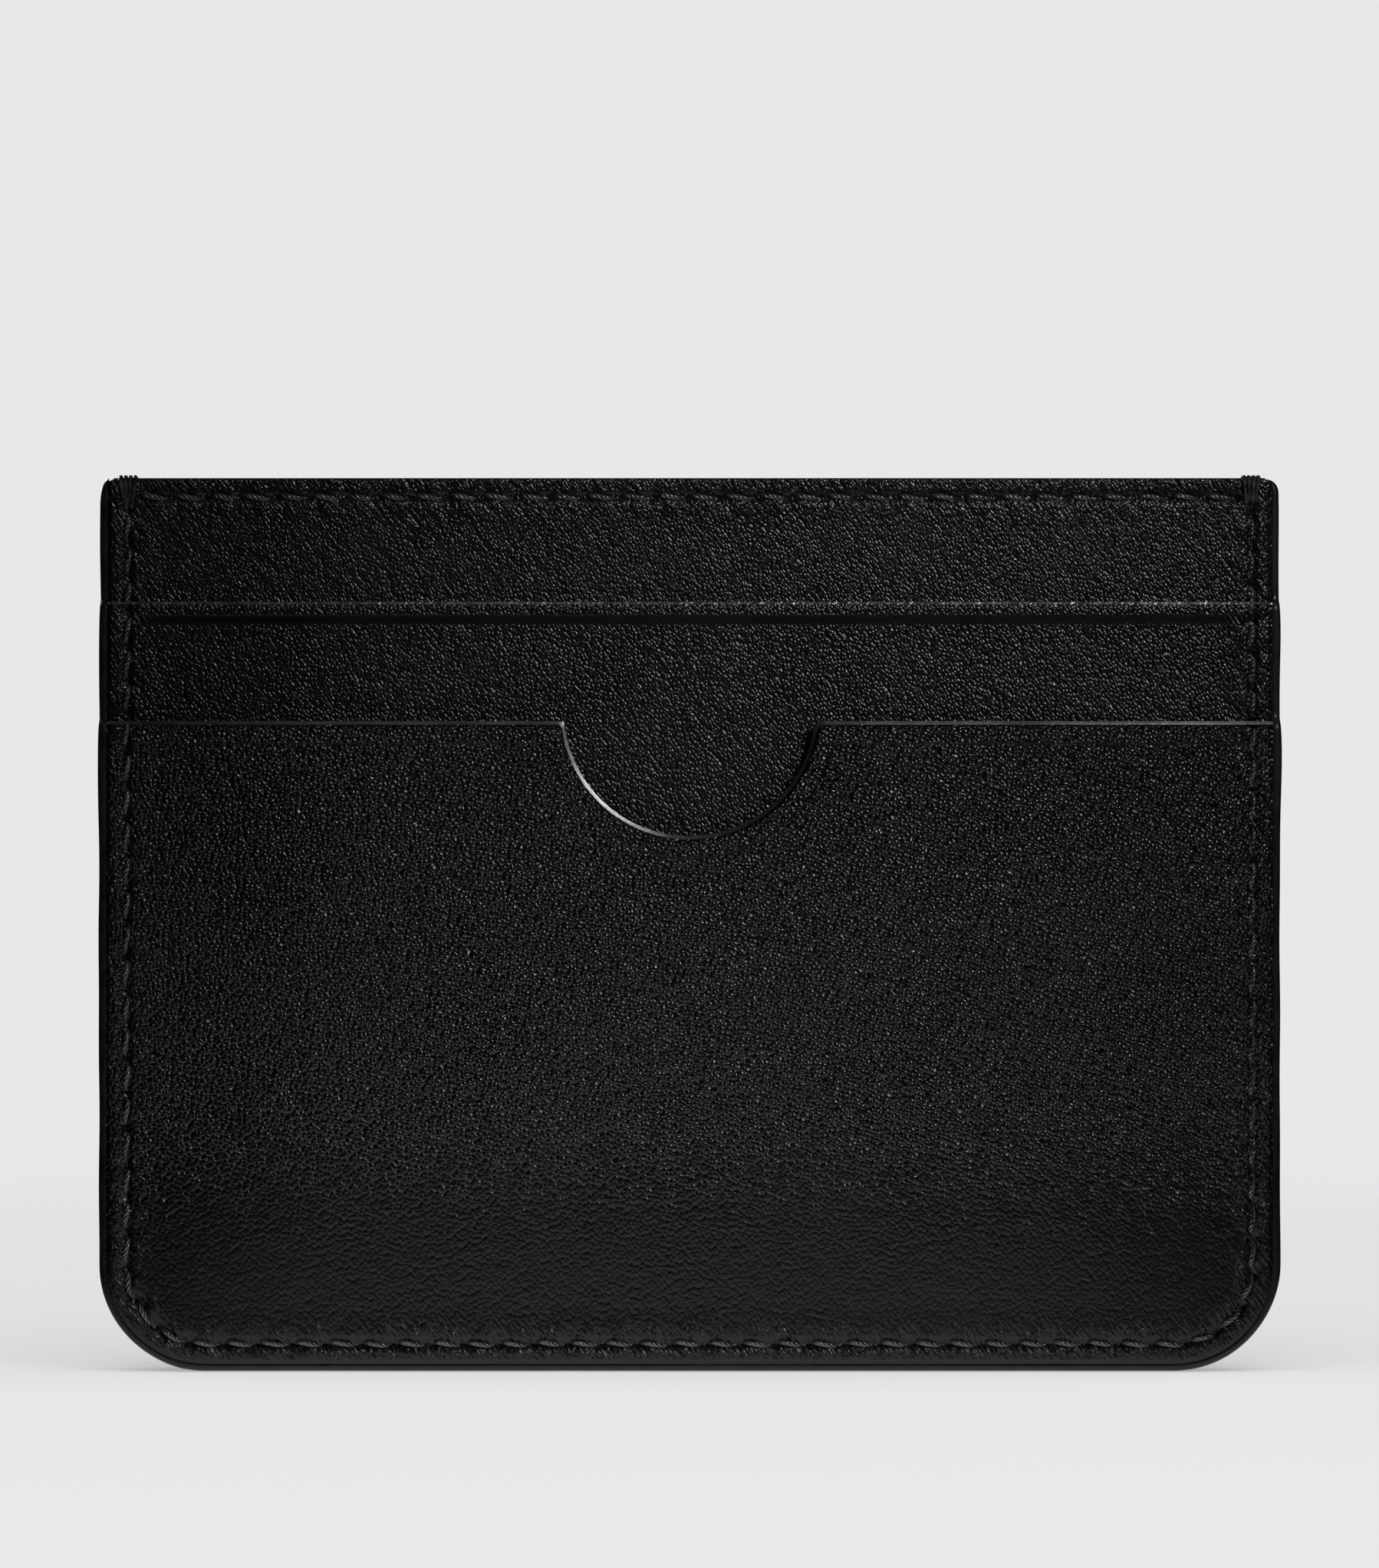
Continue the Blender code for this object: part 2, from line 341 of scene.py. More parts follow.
def rounded_corner(
    x: Array, z: Array, corner_x: float, corner_z: float, radius: float, up: float
) -> tuple[Array, Array]:
    """Turns the square corners of a grid, left and right, into quarter circles.

    Args:
        x: Across.
        z: Up.
        corner_x: The quarter circles' centres, to either side of the middle.
        corner_z: Their height.
        radius: Theirs.
        up: 1 for upper corners and -1 for lower ones.

    Returns:
        The bent x and z.
    """
    a = (np.abs(x) - corner_x) / radius
    b = (z - corner_z) * up / radius
    in_corner = (a > 0.0) & (b > 0.0)
    far = np.maximum(np.maximum(a, b), 1e-9)
    turn = (math.pi / 4) * np.minimum(a, b) / far
    along, aside = far * np.cos(turn), far * np.sin(turn)
    bent_a, bent_b = np.where(a >= b, along, aside), np.where(a >= b, aside, along)
    new_x = np.where(in_corner, np.sign(x) * (corner_x + bent_a * radius), x)
    new_z = np.where(in_corner, corner_z + up * bent_b * radius, z)
    return new_x, new_z


class SidesPath:
    """The line of the seam or of the rim: down the left side, round the foot and up the right side."""

    def __init__(self, plan: Plan, inset: float, start: float) -> None:
        """Measures the line.

        Args:
            plan: The holder's sizes.
            inset: How far the line lies inside the outline.
            start: The height of its two ends.
        """
        self.flat = plan.half_width - plan.corner_radius
        self.centre_z = plan.corner_radius
        self.radius = plan.corner_radius - inset
        self.side = start - plan.corner_radius
        self.bend = self.radius * math.pi / 2
        self.foot = 2 * self.flat
        self.length = 2 * (self.side + self.bend) + self.foot

    def point(self, s: Array) -> tuple[Array, Array, Array, Array]:
        """Where the line is at distances along it.

        Args:
            s: The distances.

        Returns:
            x, z and the outward direction's x and z.
        """
        s = np.asarray(s, float)
        right = s > self.length / 2
        own = np.where(right, self.length - s, s)
        turn = np.clip((own - self.side) / self.radius, 0.0, math.pi / 2)
        out_x, out_z = -np.cos(turn), -np.sin(turn)
        x = -self.flat + self.radius * out_x + np.maximum(own - self.side - self.bend, 0.0)
        z = self.centre_z + self.radius * out_z + np.maximum(self.side - own, 0.0)
        mirror = np.where(right, -1.0, 1.0)
        return x * mirror, z, out_x * mirror, out_z

    def along(self, x: Array, z: Array) -> Array:
        """How far along the line its nearest place to each point is.

        Args:
            x: Across.
            z: Up.

        Returns:
            The distances along the line.
        """
        down = self.side - (z - self.centre_z)
        turn = np.arctan2(np.maximum(self.centre_z - z, 0.0), np.maximum(np.abs(x) - self.flat, 1e-9))
        bent = self.side + self.radius * turn
        foot = self.side + self.bend + (self.flat - np.abs(x))
        own = np.where(z >= self.centre_z, down, np.where(np.abs(x) > self.flat, bent, foot))
        return np.where(x > 0.0, self.length - own, own)


@dataclass(frozen=True)
class Pucker:
    """How a row of stitches draws the leather in.

    Attributes:
        depth: Of the valley along the row.
        width: Of the valley.
        hole: How much deeper the leather is drawn in at each needle hole.
        hole_width: Of that dip, across the row.
        hole_span: Its length along the row, in stitches.
        hole_lag: How far before each whole number of stitches its hole lies, in stitches.
        ridge: Height of the little folds between the holes.
        ridge_reach: How far to either side of the row they lie.
        ridge_width: Of these folds.
    """

    depth: float = 0.14 * MM
    width: float = 0.42 * MM
    hole: float = 0.28 * MM
    hole_width: float = 0.34 * MM
    hole_span: float = 0.16
    hole_lag: float = 0.12
    ridge: float = 0.04 * MM
    ridge_reach: float = 0.80 * MM
    ridge_width: float = 0.40 * MM

    def depth_at(self, off: Array, phase: Array) -> Array:
        """How far the leather lies below its free surface.

        Args:
            off: Distance from the row, to either side.
            phase: Distance along the row in stitches, whole near the holes.

        Returns:
            The depth, which is a little below 0 on the folds.
        """
        late = phase + self.hole_lag
        valley = self.depth * bell(off, self.width)
        dip = self.hole * bell(off, self.hole_width) * bell(np.abs(late - np.rint(late)), self.hole_span)
        beside = bell(np.abs(off) - self.ridge_reach, self.ridge_width)
        return valley + dip + self.ridge * np.cos(2 * math.pi * phase) * beside


@dataclass(frozen=True)
class Stitching:
    """The rows of stitches on one half, shared by the leather that they draw in and by the thread itself.

    Attributes:
        plan: The holder's sizes.
        pitch: The usual distance from one hole to the next.
    """

    plan: Plan
    pitch: float = 2.9 * MM

    @property
    def sides(self) -> SidesPath:
        """The line of the side and bottom seam."""
        return SidesPath(self.plan, self.plan.seam_inset, self.plan.seam_start)

    @property
    def side_count(self) -> int:
        """The number of stitches in the side and bottom seam."""
        return round(self.sides.length / self.pitch)

    @property
    def top_count(self) -> int:
        """The number of stitches along the top."""
        return round(2 * self.plan.top_reach / self.pitch)

    def sides_off(self, x: Array, z: Array) -> tuple[Array, Array]:
        """Distance from the side and bottom seam, and the phase along it."""
        phase = self.sides.along(x, z) / self.sides.length * self.side_count
        return self.plan.inset(x, z) - self.plan.seam_inset, phase

    def top_off(self, x: Array, z: Array) -> tuple[Array, Array]:
        """Distance from the top seam, and the phase along it."""
        reach = self.plan.top_reach
        phase = (x + reach) / (2 * reach) * self.top_count
        return self.plan.top_seam - z, phase


# --------------------------------------------------------------------------------------------------
# Modelling
# --------------------------------------------------------------------------------------------------


def deselect() -> None:
    """Leaves edit mode and deselects everything, so that an operator meets only the piece in hand."""
    if bpy.context.object and bpy.context.object.mode != "OBJECT":
        bpy.ops.object.mode_set(mode="OBJECT")
    bpy.ops.object.select_all(action="DESELECT")


def points_of(piece: bpy.types.Object) -> Array:
    """The piece's vertices as rows of x, y and z."""
    flat = np.empty(len(piece.data.vertices) * 3)
    piece.data.vertices.foreach_get("co", flat)
    return flat.reshape(-1, 3)


def set_points(piece: bpy.types.Object, places: Array) -> None:
    """Moves the piece's vertices to places, rows of x, y and z."""
    piece.data.vertices.foreach_set("co", places.astype(np.float32).ravel())
    piece.data.update()


def set_attribute(piece: bpy.types.Object, name: str, values: Array) -> None:
    """Gives each of the piece's vertices a number that its material reads by name."""
    attribute = piece.data.attributes.new(name, "FLOAT", "POINT")
    attribute.data.foreach_set("value", values.astype(np.float32))


def grid(name: str, across: int, down: int) -> bpy.types.Object:
    """A grid primitive to start a piece from, one metre each way, alone in the selection.

    Args:
        name: The piece's name.
        across: Its faces from left to right.
        down: Its faces from top to bottom.

    Returns:
        The new object.
    """
    deselect()
    bpy.ops.mesh.primitive_grid_add(x_subdivisions=across, y_subdivisions=down, size=1.0)
    piece = bpy.context.object
    piece.name = name
    piece.data.name = name
    return piece


def grid_indices(places: Array, across: int, down: int) -> tuple[Array, Array]:
    """Each vertex's column from the left and row from the top, on a grid() of that many faces."""
    column = np.rint((places[:, 0] + 0.5) * across).astype(int)
    row = np.rint((0.5 - places[:, 1]) * down).astype(int)
    return column, row


def tidy(piece: bpy.types.Object, angle: float, merge: float = 0.0, fill: bool = False) -> None:
    """Merges what touches, closes the ends, turns the faces outwards and smooths the shading.

    Args:
        piece: The piece.
        angle: The sharpest bend, in degrees, that is shaded smooth.
        merge: Vertices this close become one.
        fill: Whether open ends are filled.
    """
    deselect()
    piece.select_set(True)
    bpy.context.view_layer.objects.active = piece
    bpy.ops.object.mode_set(mode="EDIT")
    bpy.ops.mesh.select_all(action="SELECT")
    if merge:
        bpy.ops.mesh.remove_doubles(threshold=merge)
    if fill:
        bpy.ops.mesh.select_all(action="DESELECT")
        bpy.ops.mesh.select_non_manifold()
        bpy.ops.mesh.fill_holes(sides=0)
        bpy.ops.mesh.select_all(action="SELECT")
    bpy.ops.mesh.normals_make_consistent(inside=False)
    bpy.ops.object.mode_set(mode="OBJECT")
    bpy.ops.object.shade_smooth_by_angle(angle=math.radians(angle))


def slab(name: str, columns: Array, rows: Array, place: Placer) -> bpy.types.Object:
    """A closed sheet: a grid primitive, extruded to two skins and then drawn to the sheet's shape.

    Args:
        name: The piece's name.
        columns: The grid's lines from left to right.
        rows: Its lines from the mouth down, as distances from the mouth.
        place: Gives the points' x, forward and z from their column, row and skin. The skin is 1 outside
            and 0 inside.

    Returns:
        The new object, stood as the front half.
    """
    across, down = len(columns) - 1, len(rows) - 1
    piece = grid(name, across, down)
    bpy.ops.object.mode_set(mode="EDIT")
    bpy.ops.mesh.select_all(action="SELECT")
    bpy.ops.mesh.extrude_region_move(TRANSFORM_OT_translate={"value": (0.0, 0.0, 1.0)})
    bpy.ops.object.mode_set(mode="OBJECT")
    start = points_of(piece)
    column, row = grid_indices(start, across, down)
    placed = place(columns[column], rows[row], np.rint(start[:, 2]))
    set_points(piece, placed * (1.0, -1.0, 1.0))
    tidy(piece, SHEET_BEND)
    return piece


def swept(name: str, rings: Array, angle: float = PAINT_BEND) -> bpy.types.Object:
    """A closed tube through rings of points: a grid primitive, wrapped round, merged and capped.

    Args:
        name: The piece's name.
        rings: The points, as rings by points by x, forward and z.
        angle: The sharpest bend, in degrees, that is shaded smooth.

    Returns:
        The new object, stood as the front half.
    """
    count, around = rings.shape[:2]
    piece = grid(name, around, count - 1)
    column, row = grid_indices(points_of(piece), around, count - 1)
    set_points(piece, rings[row, column % around] * (1.0, -1.0, 1.0))
    tidy(piece, angle, merge=TOUCHING, fill=True)
    return piece


def joined(pieces: Sequence[bpy.types.Object], name: str) -> bpy.types.Object:
    """Makes one object of several.

    Args:
        pieces: The objects, which are used up.
        name: The name of what they become.

    Returns:
        The one object.
    """
    deselect()
    for piece in pieces:
        piece.select_set(True)
    bpy.context.view_layer.objects.active = pieces[0]
    bpy.ops.object.join()
    made = bpy.context.object
    made.name = name
    made.data.name = name
    return made


def copy_of(piece: bpy.types.Object, name: str) -> bpy.types.Object:
    """A copy of a piece that has its own mesh.

    Args:
        piece: The piece.
        name: The copy's name.

    Returns:
        The copy.
    """
    copied = piece.copy()
    copied.data = piece.data.copy()
    copied.name = name
    copied.data.name = name
    bpy.context.scene.collection.objects.link(copied)
    return copied


def turned_copy(piece: bpy.types.Object, name: str) -> bpy.types.Object:
    """The back half's copy of a front piece, turned half a turn round the z axis."""
    copied = copy_of(piece, name)
    set_points(copied, points_of(copied) * (-1.0, -1.0, 1.0))
    return copied


def settle(piece: bpy.types.Object, finish: bpy.types.Material, node: str) -> None:
    """Gives a finished piece its material, its place in the table and the CAD node that it stands for.

    Args:
        piece: The piece.
        finish: The material.
        node: The CAD node that it replaces.
    """
    piece.data.materials.clear()
    piece.data.materials.append(finish)
    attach(piece, "root")
    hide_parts(node)
    log.info("%s: %d faces, for %s", piece.name, len(piece.data.polygons), node)


def settle_both(
    piece: bpy.types.Object, finish: bpy.types.Material, node: str
) -> bpy.types.Object:
    """Settles a front piece, and its copy on the back half.

    Args:
        piece: The front piece, whose name starts with its half.
        finish: Their material.
        node: The CAD node that they replace, without its half.

    Returns:
        The back piece.
    """
    back = turned_copy(piece, piece.name.replace(Half.FRONT.value, Half.BACK.value))
    settle(piece, finish, Half.FRONT.own(node))
    settle(back, finish, Half.BACK.own(node))
    return back


# --------------------------------------------------------------------------------------------------
# Finishes
# --------------------------------------------------------------------------------------------------

Value = float | tuple | bpy.types.NodeSocket
Inputs = dict[str | int, Value]
Colour = tuple[float, float, float, float]


class Graph:
    """Adds nodes to one node tree and links them as they are added."""

    def __init__(self, tree: bpy.types.NodeTree) -> None:
        """Takes the tree to work on."""
        self.tree = tree

    def feed(self, node: bpy.types.Node, inputs: Inputs) -> None:
        """Sets or links a node's inputs.

        Args:
            node: The node.
            inputs: A value, or another node's output, for each input by its name or number.
        """
        for name, value in inputs.items():
            if isinstance(value, bpy.types.NodeSocket):
                self.tree.links.new(value, node.inputs[name])
            else:
                node.inputs[name].default_value = value

    def add(self, kind: str, inputs: Inputs | None = None, **settings: object) -> bpy.types.Node:
        """Adds one node.

        Args:
            kind: Its type, without the leading ShaderNode.
            inputs: What its inputs get, as in feed().
            settings: Its own properties.

        Returns:
            The node.
        """
        node = self.tree.nodes.new("ShaderNode" + kind)
        for name, value in settings.items():
            setattr(node, name, value)
        self.feed(node, inputs or {})
        return node

    def flat_noise(self, vector: Value, scale: float) -> bpy.types.NodeSocket:
        """A soft noise in the plane of a vector's x and y."""
        inputs = {"Vector": vector, "Scale": scale, "Detail": 1.0}
        return self.add("TexNoise", inputs, noise_dimensions="2D").outputs[0]

    def bump(self, height: Value, distance: float, under: Value | None = None) -> bpy.types.NodeSocket:
        """A relief in the surface.

        Args:
            height: The relief, about 0 to 1.
            distance: How high 1 is.
            under: Another relief's normal that this one lies on.

        Returns:
            The normal.
        """
        inputs = {"Height": height, "Distance": distance, "Strength": 1.0}
        if under is not None:
            inputs["Normal"] = under
        return self.add("Bump", inputs).outputs[0]

    def maths(self, operation: str, *values: Value) -> bpy.types.NodeSocket:
        """The result of one Math node.

        Args:
            operation: What it does.
            values: Its inputs in order.

        Returns:
            Its output.
        """
        return self.add("Math", dict(enumerate(values)), operation=operation).outputs[0]

    def remap(
        self, value: Value, low: float, high: float, new_low: float, new_high: float
    ) -> bpy.types.NodeSocket:
        """A value carried from one range to another, and held at its ends.

        Args:
            value: The value.
            low: The old range's start.
            high: Its end.
            new_low: What low becomes.
            new_high: What high becomes.

        Returns:
            The new value.
        """
        inputs = {0: value, 1: low, 2: high, 3: new_low, 4: new_high}
        return self.add("MapRange", inputs, interpolation_type="SMOOTHSTEP").outputs[0]

    def blend(self, share: Value, first: Value, second: Value) -> bpy.types.NodeSocket:
        """A colour between two others.

        Args:
            share: How much of the second.
            first: A colour.
            second: Another.

        Returns:
            The blended colour.
        """
        return self.add("Mix", {0: share, 6: first, 7: second}, data_type="RGBA").outputs[2]


def group(name: str, numbers: dict[str, float], outputs: Sequence[str]) -> tuple[Graph, dict, dict]:
    """Starts a node group that several materials share.

    Args:
        name: The group's name.
        numbers: The usual values of its inputs beside the vector.
        outputs: The names of its outputs, which are all numbers.

    Returns:
        The group's graph, its input sockets by name, and its output sockets by name.
    """
    tree = bpy.data.node_groups.new(name, "ShaderNodeTree")
    tree.interface.new_socket("Vector", in_out="INPUT", socket_type="NodeSocketVector")
    for label, usual in numbers.items():
        socket = tree.interface.new_socket(label, in_out="INPUT", socket_type="NodeSocketFloat")
        socket.default_value = usual
    for label in outputs:
        tree.interface.new_socket(label, in_out="OUTPUT", socket_type="NodeSocketFloat")
    entry = tree.nodes.new("NodeGroupInput").outputs
    leave = tree.nodes.new("NodeGroupOutput").inputs
    given = {label: entry[label] for label in ("Vector", *numbers)}
    return Graph(tree), given, {label: leave[label] for label in outputs}


class Effects:
    """The node groups that the finishes share, each built once."""

    def __init__(self) -> None:
        """Builds the groups."""
        self.pebbles = self._pebbles()
        self.handling = self._handling()
        self.weave = self._weave()
        self.plies = self._plies()

    @staticmethod
    def place(graph: Graph, effect: bpy.types.NodeTree, inputs: Inputs) -> bpy.types.Node:
        """Puts a group into a material with its own values.

        Args:
            graph: The material's graph.
            effect: The group.
            inputs: Its inputs' values or links.

        Returns:
            The group's node.
        """
        node = graph.tree.nodes.new("ShaderNodeGroup")
        node.node_tree = effect
        graph.feed(node, inputs)
        return node

    @staticmethod
    def _pebbles() -> bpy.types.NodeTree:
        """Leather grain: rounded pebbles with sunk lines between them, in cells one unit wide.

        Returns:
            A group that puts out the height.
        """
        numbers = {"Pressed": 0.0, "Waver": 0.6, "Streak": 0.5}
        graph, given, out = group("pebbled_grain", numbers, ("Height",))
        where = given["Vector"]
        inputs = {"Vector": where, "Scale": 0.55, "Detail": 1.0}
        waver = graph.add("TexNoise", inputs, noise_dimensions="2D").outputs["Color"]
        shift = graph.add("VectorMath", {0: waver, 1: (0.5, 0.5, 0.5)}, operation="SUBTRACT").outputs[0]
        shift = graph.add("VectorMath", {0: shift, "Scale": given["Waver"]}, operation="SCALE").outputs[0]
        bent = graph.add("VectorMath", {0: where, 1: shift}, operation="ADD").outputs[0]
        cells = {"Vector": bent, "Scale": 1.0, "Randomness": 0.8}
        coarse = graph.add("TexVoronoi", cells, voronoi_dimensions="2D").outputs["Distance"]
        fine = graph.add("TexVoronoi", {"Vector": bent, "Scale": 2.1}, voronoi_dimensions="2D")
        slow = graph.flat_noise(where, 0.24)
        long = graph.add("Mapping", {"Vector": where, "Scale": (0.50, 0.10, 1.0)}).outputs[0]
        lines = graph.flat_noise(long, 1.0)
        dome = graph.maths("SUBTRACT", 1.0, graph.maths("POWER", coarse, 2.0))
        small = graph.maths("MULTIPLY", graph.maths("SUBTRACT", 1.0, fine.outputs["Distance"]), 0.03)
        full = graph.remap(slow, 0.3, 0.7, 0.85, 1.15)
        height = graph.maths("MULTIPLY_ADD", dome, full, small)
        height = graph.maths("MULTIPLY_ADD", lines, given["Streak"], height)
        kept = graph.maths("SUBTRACT", 1.0, given["Pressed"])
        graph.tree.links.new(graph.maths("MULTIPLY", height, kept), out["Height"])
        return graph.tree

    @staticmethod
    def _handling() -> bpy.types.NodeTree:
        """Slow changes from place to place: where hands and pockets have polished or dulled a surface.

        Returns:
            A group that puts out a broad mask, a finer one, and faint specks of lint.
        """
        graph, given, out = group("handling", {"Size": 0.012}, ("Broad", "Patchy", "Lint"))
        where = given["Vector"]
        unit = graph.maths("DIVIDE", 1.0, given["Size"])
        for label, finer, detail in (("Broad", 1.0, 2.0), ("Patchy", 5.0, 3.0)):
            scale = unit if finer == 1.0 else graph.maths("MULTIPLY", unit, finer)
            noise = graph.add("TexNoise", {"Vector": where, "Scale": scale, "Detail": detail})
            graph.tree.links.new(graph.remap(noise.outputs[0], 0.35, 0.65, 0.0, 1.0), out[label])
        specks = graph.add("TexVoronoi", {"Vector": where, "Scale": graph.maths("MULTIPLY", unit, 14.0)})
        near = graph.remap(specks.outputs["Distance"], 0.03, 0.10, 1.0, 0.0)
        rare = graph.add("SeparateColor", {0: specks.outputs["Color"]}).outputs[0]
        lint = graph.maths("MULTIPLY", near, graph.remap(rare, 0.93, 0.97, 0.0, 1.0))
        graph.tree.links.new(lint, out["Lint"])
        return graph.tree

    @staticmethod
    def _weave() -> bpy.types.NodeTree:
        """A plain weave of threads one unit apart along x and z.

        Returns:
            A group that puts out the height and a mask of the warp threads.
        """
        graph, given, out = group("plain_weave", {}, ("Height", "Warp"))
        parts = graph.add("SeparateXYZ", {0: given["Vector"]})
        waves = []
        for axis in (0, 2):
            turns = graph.maths("MULTIPLY", parts.outputs[axis], math.pi)
            waves.append((graph.maths("SINE", turns), graph.maths("COSINE", turns)))
        over = graph.maths("MULTIPLY", waves[0][1], waves[1][1])
        warp = graph.remap(over, -0.25, 0.25, 0.0, 1.0)
        lifted = graph.maths("MULTIPLY", graph.maths("ABSOLUTE", waves[0][0]), warp)
        weft = graph.maths("SUBTRACT", 1.0, warp)
        sunk = graph.maths("MULTIPLY", graph.maths("ABSOLUTE", waves[1][0]), weft)
        graph.tree.links.new(graph.maths("ADD", lifted, sunk), out["Height"])
        graph.tree.links.new(warp, out["Warp"])
        return graph.tree

    @staticmethod
    def _plies() -> bpy.types.NodeTree:
        """Three plies that wind round a tube, and the fine filaments in them, on the tube's own UV map.

        Returns:
            A group that puts out the plies' height and the filaments' height.
        """
        graph, given, out = group("wound_plies", {"Twist": 6.0}, ("Height", "Filaments"))
        parts = graph.add("SeparateXYZ", {0: given["Vector"]})
        around = graph.maths("MULTIPLY", parts.outputs[0], 3.0)
        along = graph.maths("MULTIPLY", parts.outputs[1], given["Twist"])
        phase = graph.maths("SUBTRACT", around, along)
        wave = graph.maths("ABSOLUTE", graph.maths("SINE", graph.maths("MULTIPLY", phase, math.pi)))
        across = graph.add("CombineXYZ", {0: graph.maths("MULTIPLY", phase, 7.0), 1: parts.outputs[1]})
        noise = graph.add("TexNoise", {"Vector": across.outputs[0], "Scale": 1.0, "Detail": 2.0})
        graph.tree.links.new(graph.maths("POWER", wave, 0.6), out["Height"])
        graph.tree.links.new(noise.outputs[0], out["Filaments"])
        return graph.tree


@dataclass(frozen=True)
class Leather:
    """Smooth black calf with a fine pebbled grain that leans from upper left to lower right.

    Attributes:
        name: The material's name.
        cell: The pebbles' width.
        stretch: How much longer than wide they are.
        lean: The angle of their long side, in degrees from upright.
        relief: The height of the grain.
        streak: How strong the long sunk lines in it are.
        swell: The height of the slow waves in the surface.
        fold: The height of the little folds beside the seams.
        rough: The roughness of the valleys and of the tops.
        levels: The heights of the grain between which its colour and roughness change.
        patch: The size of the places that handling has changed.
        calm: How far the grain is flattened at the foot.
        calm_heights: Where that begins to give way, and where it ends.
        crease: The width and length of the little folds.
        deep: The colour in the grain's valleys, darkest there as painted shade.
        lit_top_and_worn: The colour on the grain's tops, lighter there as painted light, and where handling
            has lightened it.
        lint: The colour of the specks on it.
        shine: Its specular level.
    """

    name: str
    cell: float = 0.35 * MM
    stretch: float = 1.2
    lean: float = -35.0
    relief: float = 0.21 * MM
    streak: float = 0.15
    swell: float = 0.03 * MM
    fold: float = 0.14 * MM
    rough: tuple[float, float] = (0.29, 0.25)
    levels: tuple[float, float] = (0.65, 1.05)
    patch: float = 14.0 * MM
    calm: float = 0.80
    calm_heights: tuple[float, float] = (7.0 * MM, 26.0 * MM)
    crease: tuple[float, float] = (0.30 * MM, 1.5 * MM)
    deep: Colour = (0.0003, 0.0004, 0.0004, 1.0)
    lit_top_and_worn: Colour = (0.0020, 0.0025, 0.0023, 1.0)
    lint: Colour = (0.10, 0.10, 0.10, 1.0)
    shine: float = 0.25

    def material(self, effects: Effects) -> bpy.types.Material:
        """Builds the leather.

        Args:
            effects: The shared node groups.

        Returns:
            The material.
        """
        made, graph, shader = fresh_material(self.name)
        where = graph.add("TexCoord").outputs["Object"]
        pressed = graph.add("Attribute", attribute_name=PRESSED).outputs["Fac"]
        height = graph.add("SeparateXYZ", {0: where}).outputs[2]
        calm = graph.remap(height, *self.calm_heights, self.calm, 0.0)
        flattened = graph.maths("MAXIMUM", graph.maths("MULTIPLY", pressed, 0.85), calm)
        cells = self.leaning(graph, where, self.cell, self.cell * self.stretch)
        inputs = {"Vector": cells, "Pressed": flattened, "Streak": self.streak}
        grain = Effects.place(graph, effects.pebbles, inputs).outputs["Height"]
        handling = Effects.place(graph, effects.handling, {"Vector": where, "Size": self.patch}).outputs
        # Grain valleys take the dark colour and grain tops the light one: painted shade in the hollows and
        # painted light on the tops. The handling patches add real tone on top of that.
        raised = graph.remap(grain, *self.levels, 0.0, 0.8)
        raised = graph.maths("MULTIPLY_ADD", handling["Patchy"], 0.2, raised)
        colour = graph.blend(raised, self.deep, self.lit_top_and_worn)
        colour = graph.blend(graph.maths("MULTIPLY", handling["Lint"], 0.06), colour, self.lint)
        rough = graph.remap(grain, *self.levels, *self.rough)
        rough = graph.maths("MULTIPLY_ADD", handling["Broad"], 0.04, rough)
        slow = graph.add("TexNoise", {"Vector": where, "Scale": 260.0, "Detail": 2.0}).outputs[0]
        gathered = graph.add("Attribute", attribute_name=GATHERED).outputs["Fac"]
        creases = graph.flat_noise(self.leaning(graph, where, *self.crease), 1.0)
        creases = graph.maths("MULTIPLY", creases, gathered)
        pleats = graph.maths("MULTIPLY", creases, self.fold / self.swell)
        wave = graph.bump(graph.maths("ADD", slow, pleats), self.swell)
        normal = graph.bump(grain, self.relief, wave)
        skin(graph, shader, colour, rough, normal, self.shine)
        return made

    def leaning(self, graph: Graph, where: Value, across: float, along: float) -> bpy.types.NodeSocket:
        """Where a place lies in cells that lean with the grain, in units of one cell.

        Args:
            graph: The material's graph.
            where: The place on the holder.
            across: A cell's width.
            along: Its length.

        Returns:
            The place's x and y among the cells.
        """
        upright = graph.add("Mapping", {"Vector": where, "Rotation": (-math.pi / 2, 0.0, 0.0)}).outputs[0]
        turn = (0.0, 0.0, math.radians(-self.lean))
        inputs = {"Vector": upright, "Rotation": turn, "Scale": (across, along, 1.0)}
        return graph.add("Mapping", inputs, vector_type="TEXTURE").outputs[0]


@dataclass(frozen=True)
class EdgePaint:
    """Black edge paint: a satin skin that lies a little unevenly.

    Attributes:
        name: The material's name.
        relief: How uneven it lies.
        shine: Its specular level.
        patch: The size of the places where it changes.
        rough: The roughness that it changes between.
        dull: The darker of the two colours that it changes between.
        bright: The lighter one.
    """

    name: str
    relief: float = 0.02 * MM
    shine: float = 0.8
    patch: float = 6.0 * MM
    rough: tuple[float, float] = (0.27, 0.36)
    dull: Colour = (0.004, 0.0034, 0.0029, 1.0)
    bright: Colour = (0.009, 0.0072, 0.0058, 1.0)

    def material(self, effects: Effects) -> bpy.types.Material:
        """Builds the paint.

        Args:
            effects: The shared node groups.

        Returns:
            The material.
        """
        made, graph, shader = fresh_material(self.name)
        where = graph.add("TexCoord").outputs["Object"]
        handling = Effects.place(graph, effects.handling, {"Vector": where, "Size": self.patch}).outputs
        colour = graph.blend(handling["Patchy"], self.dull, self.bright)
        rough = graph.remap(handling["Broad"], 0.0, 1.0, *self.rough)
        waves = graph.add("TexNoise", {"Vector": where, "Scale": 1500.0, "Detail": 2.0}).outputs[0]
        skin(graph, shader, colour, rough, graph.bump(waves, self.relief), self.shine)
        return made


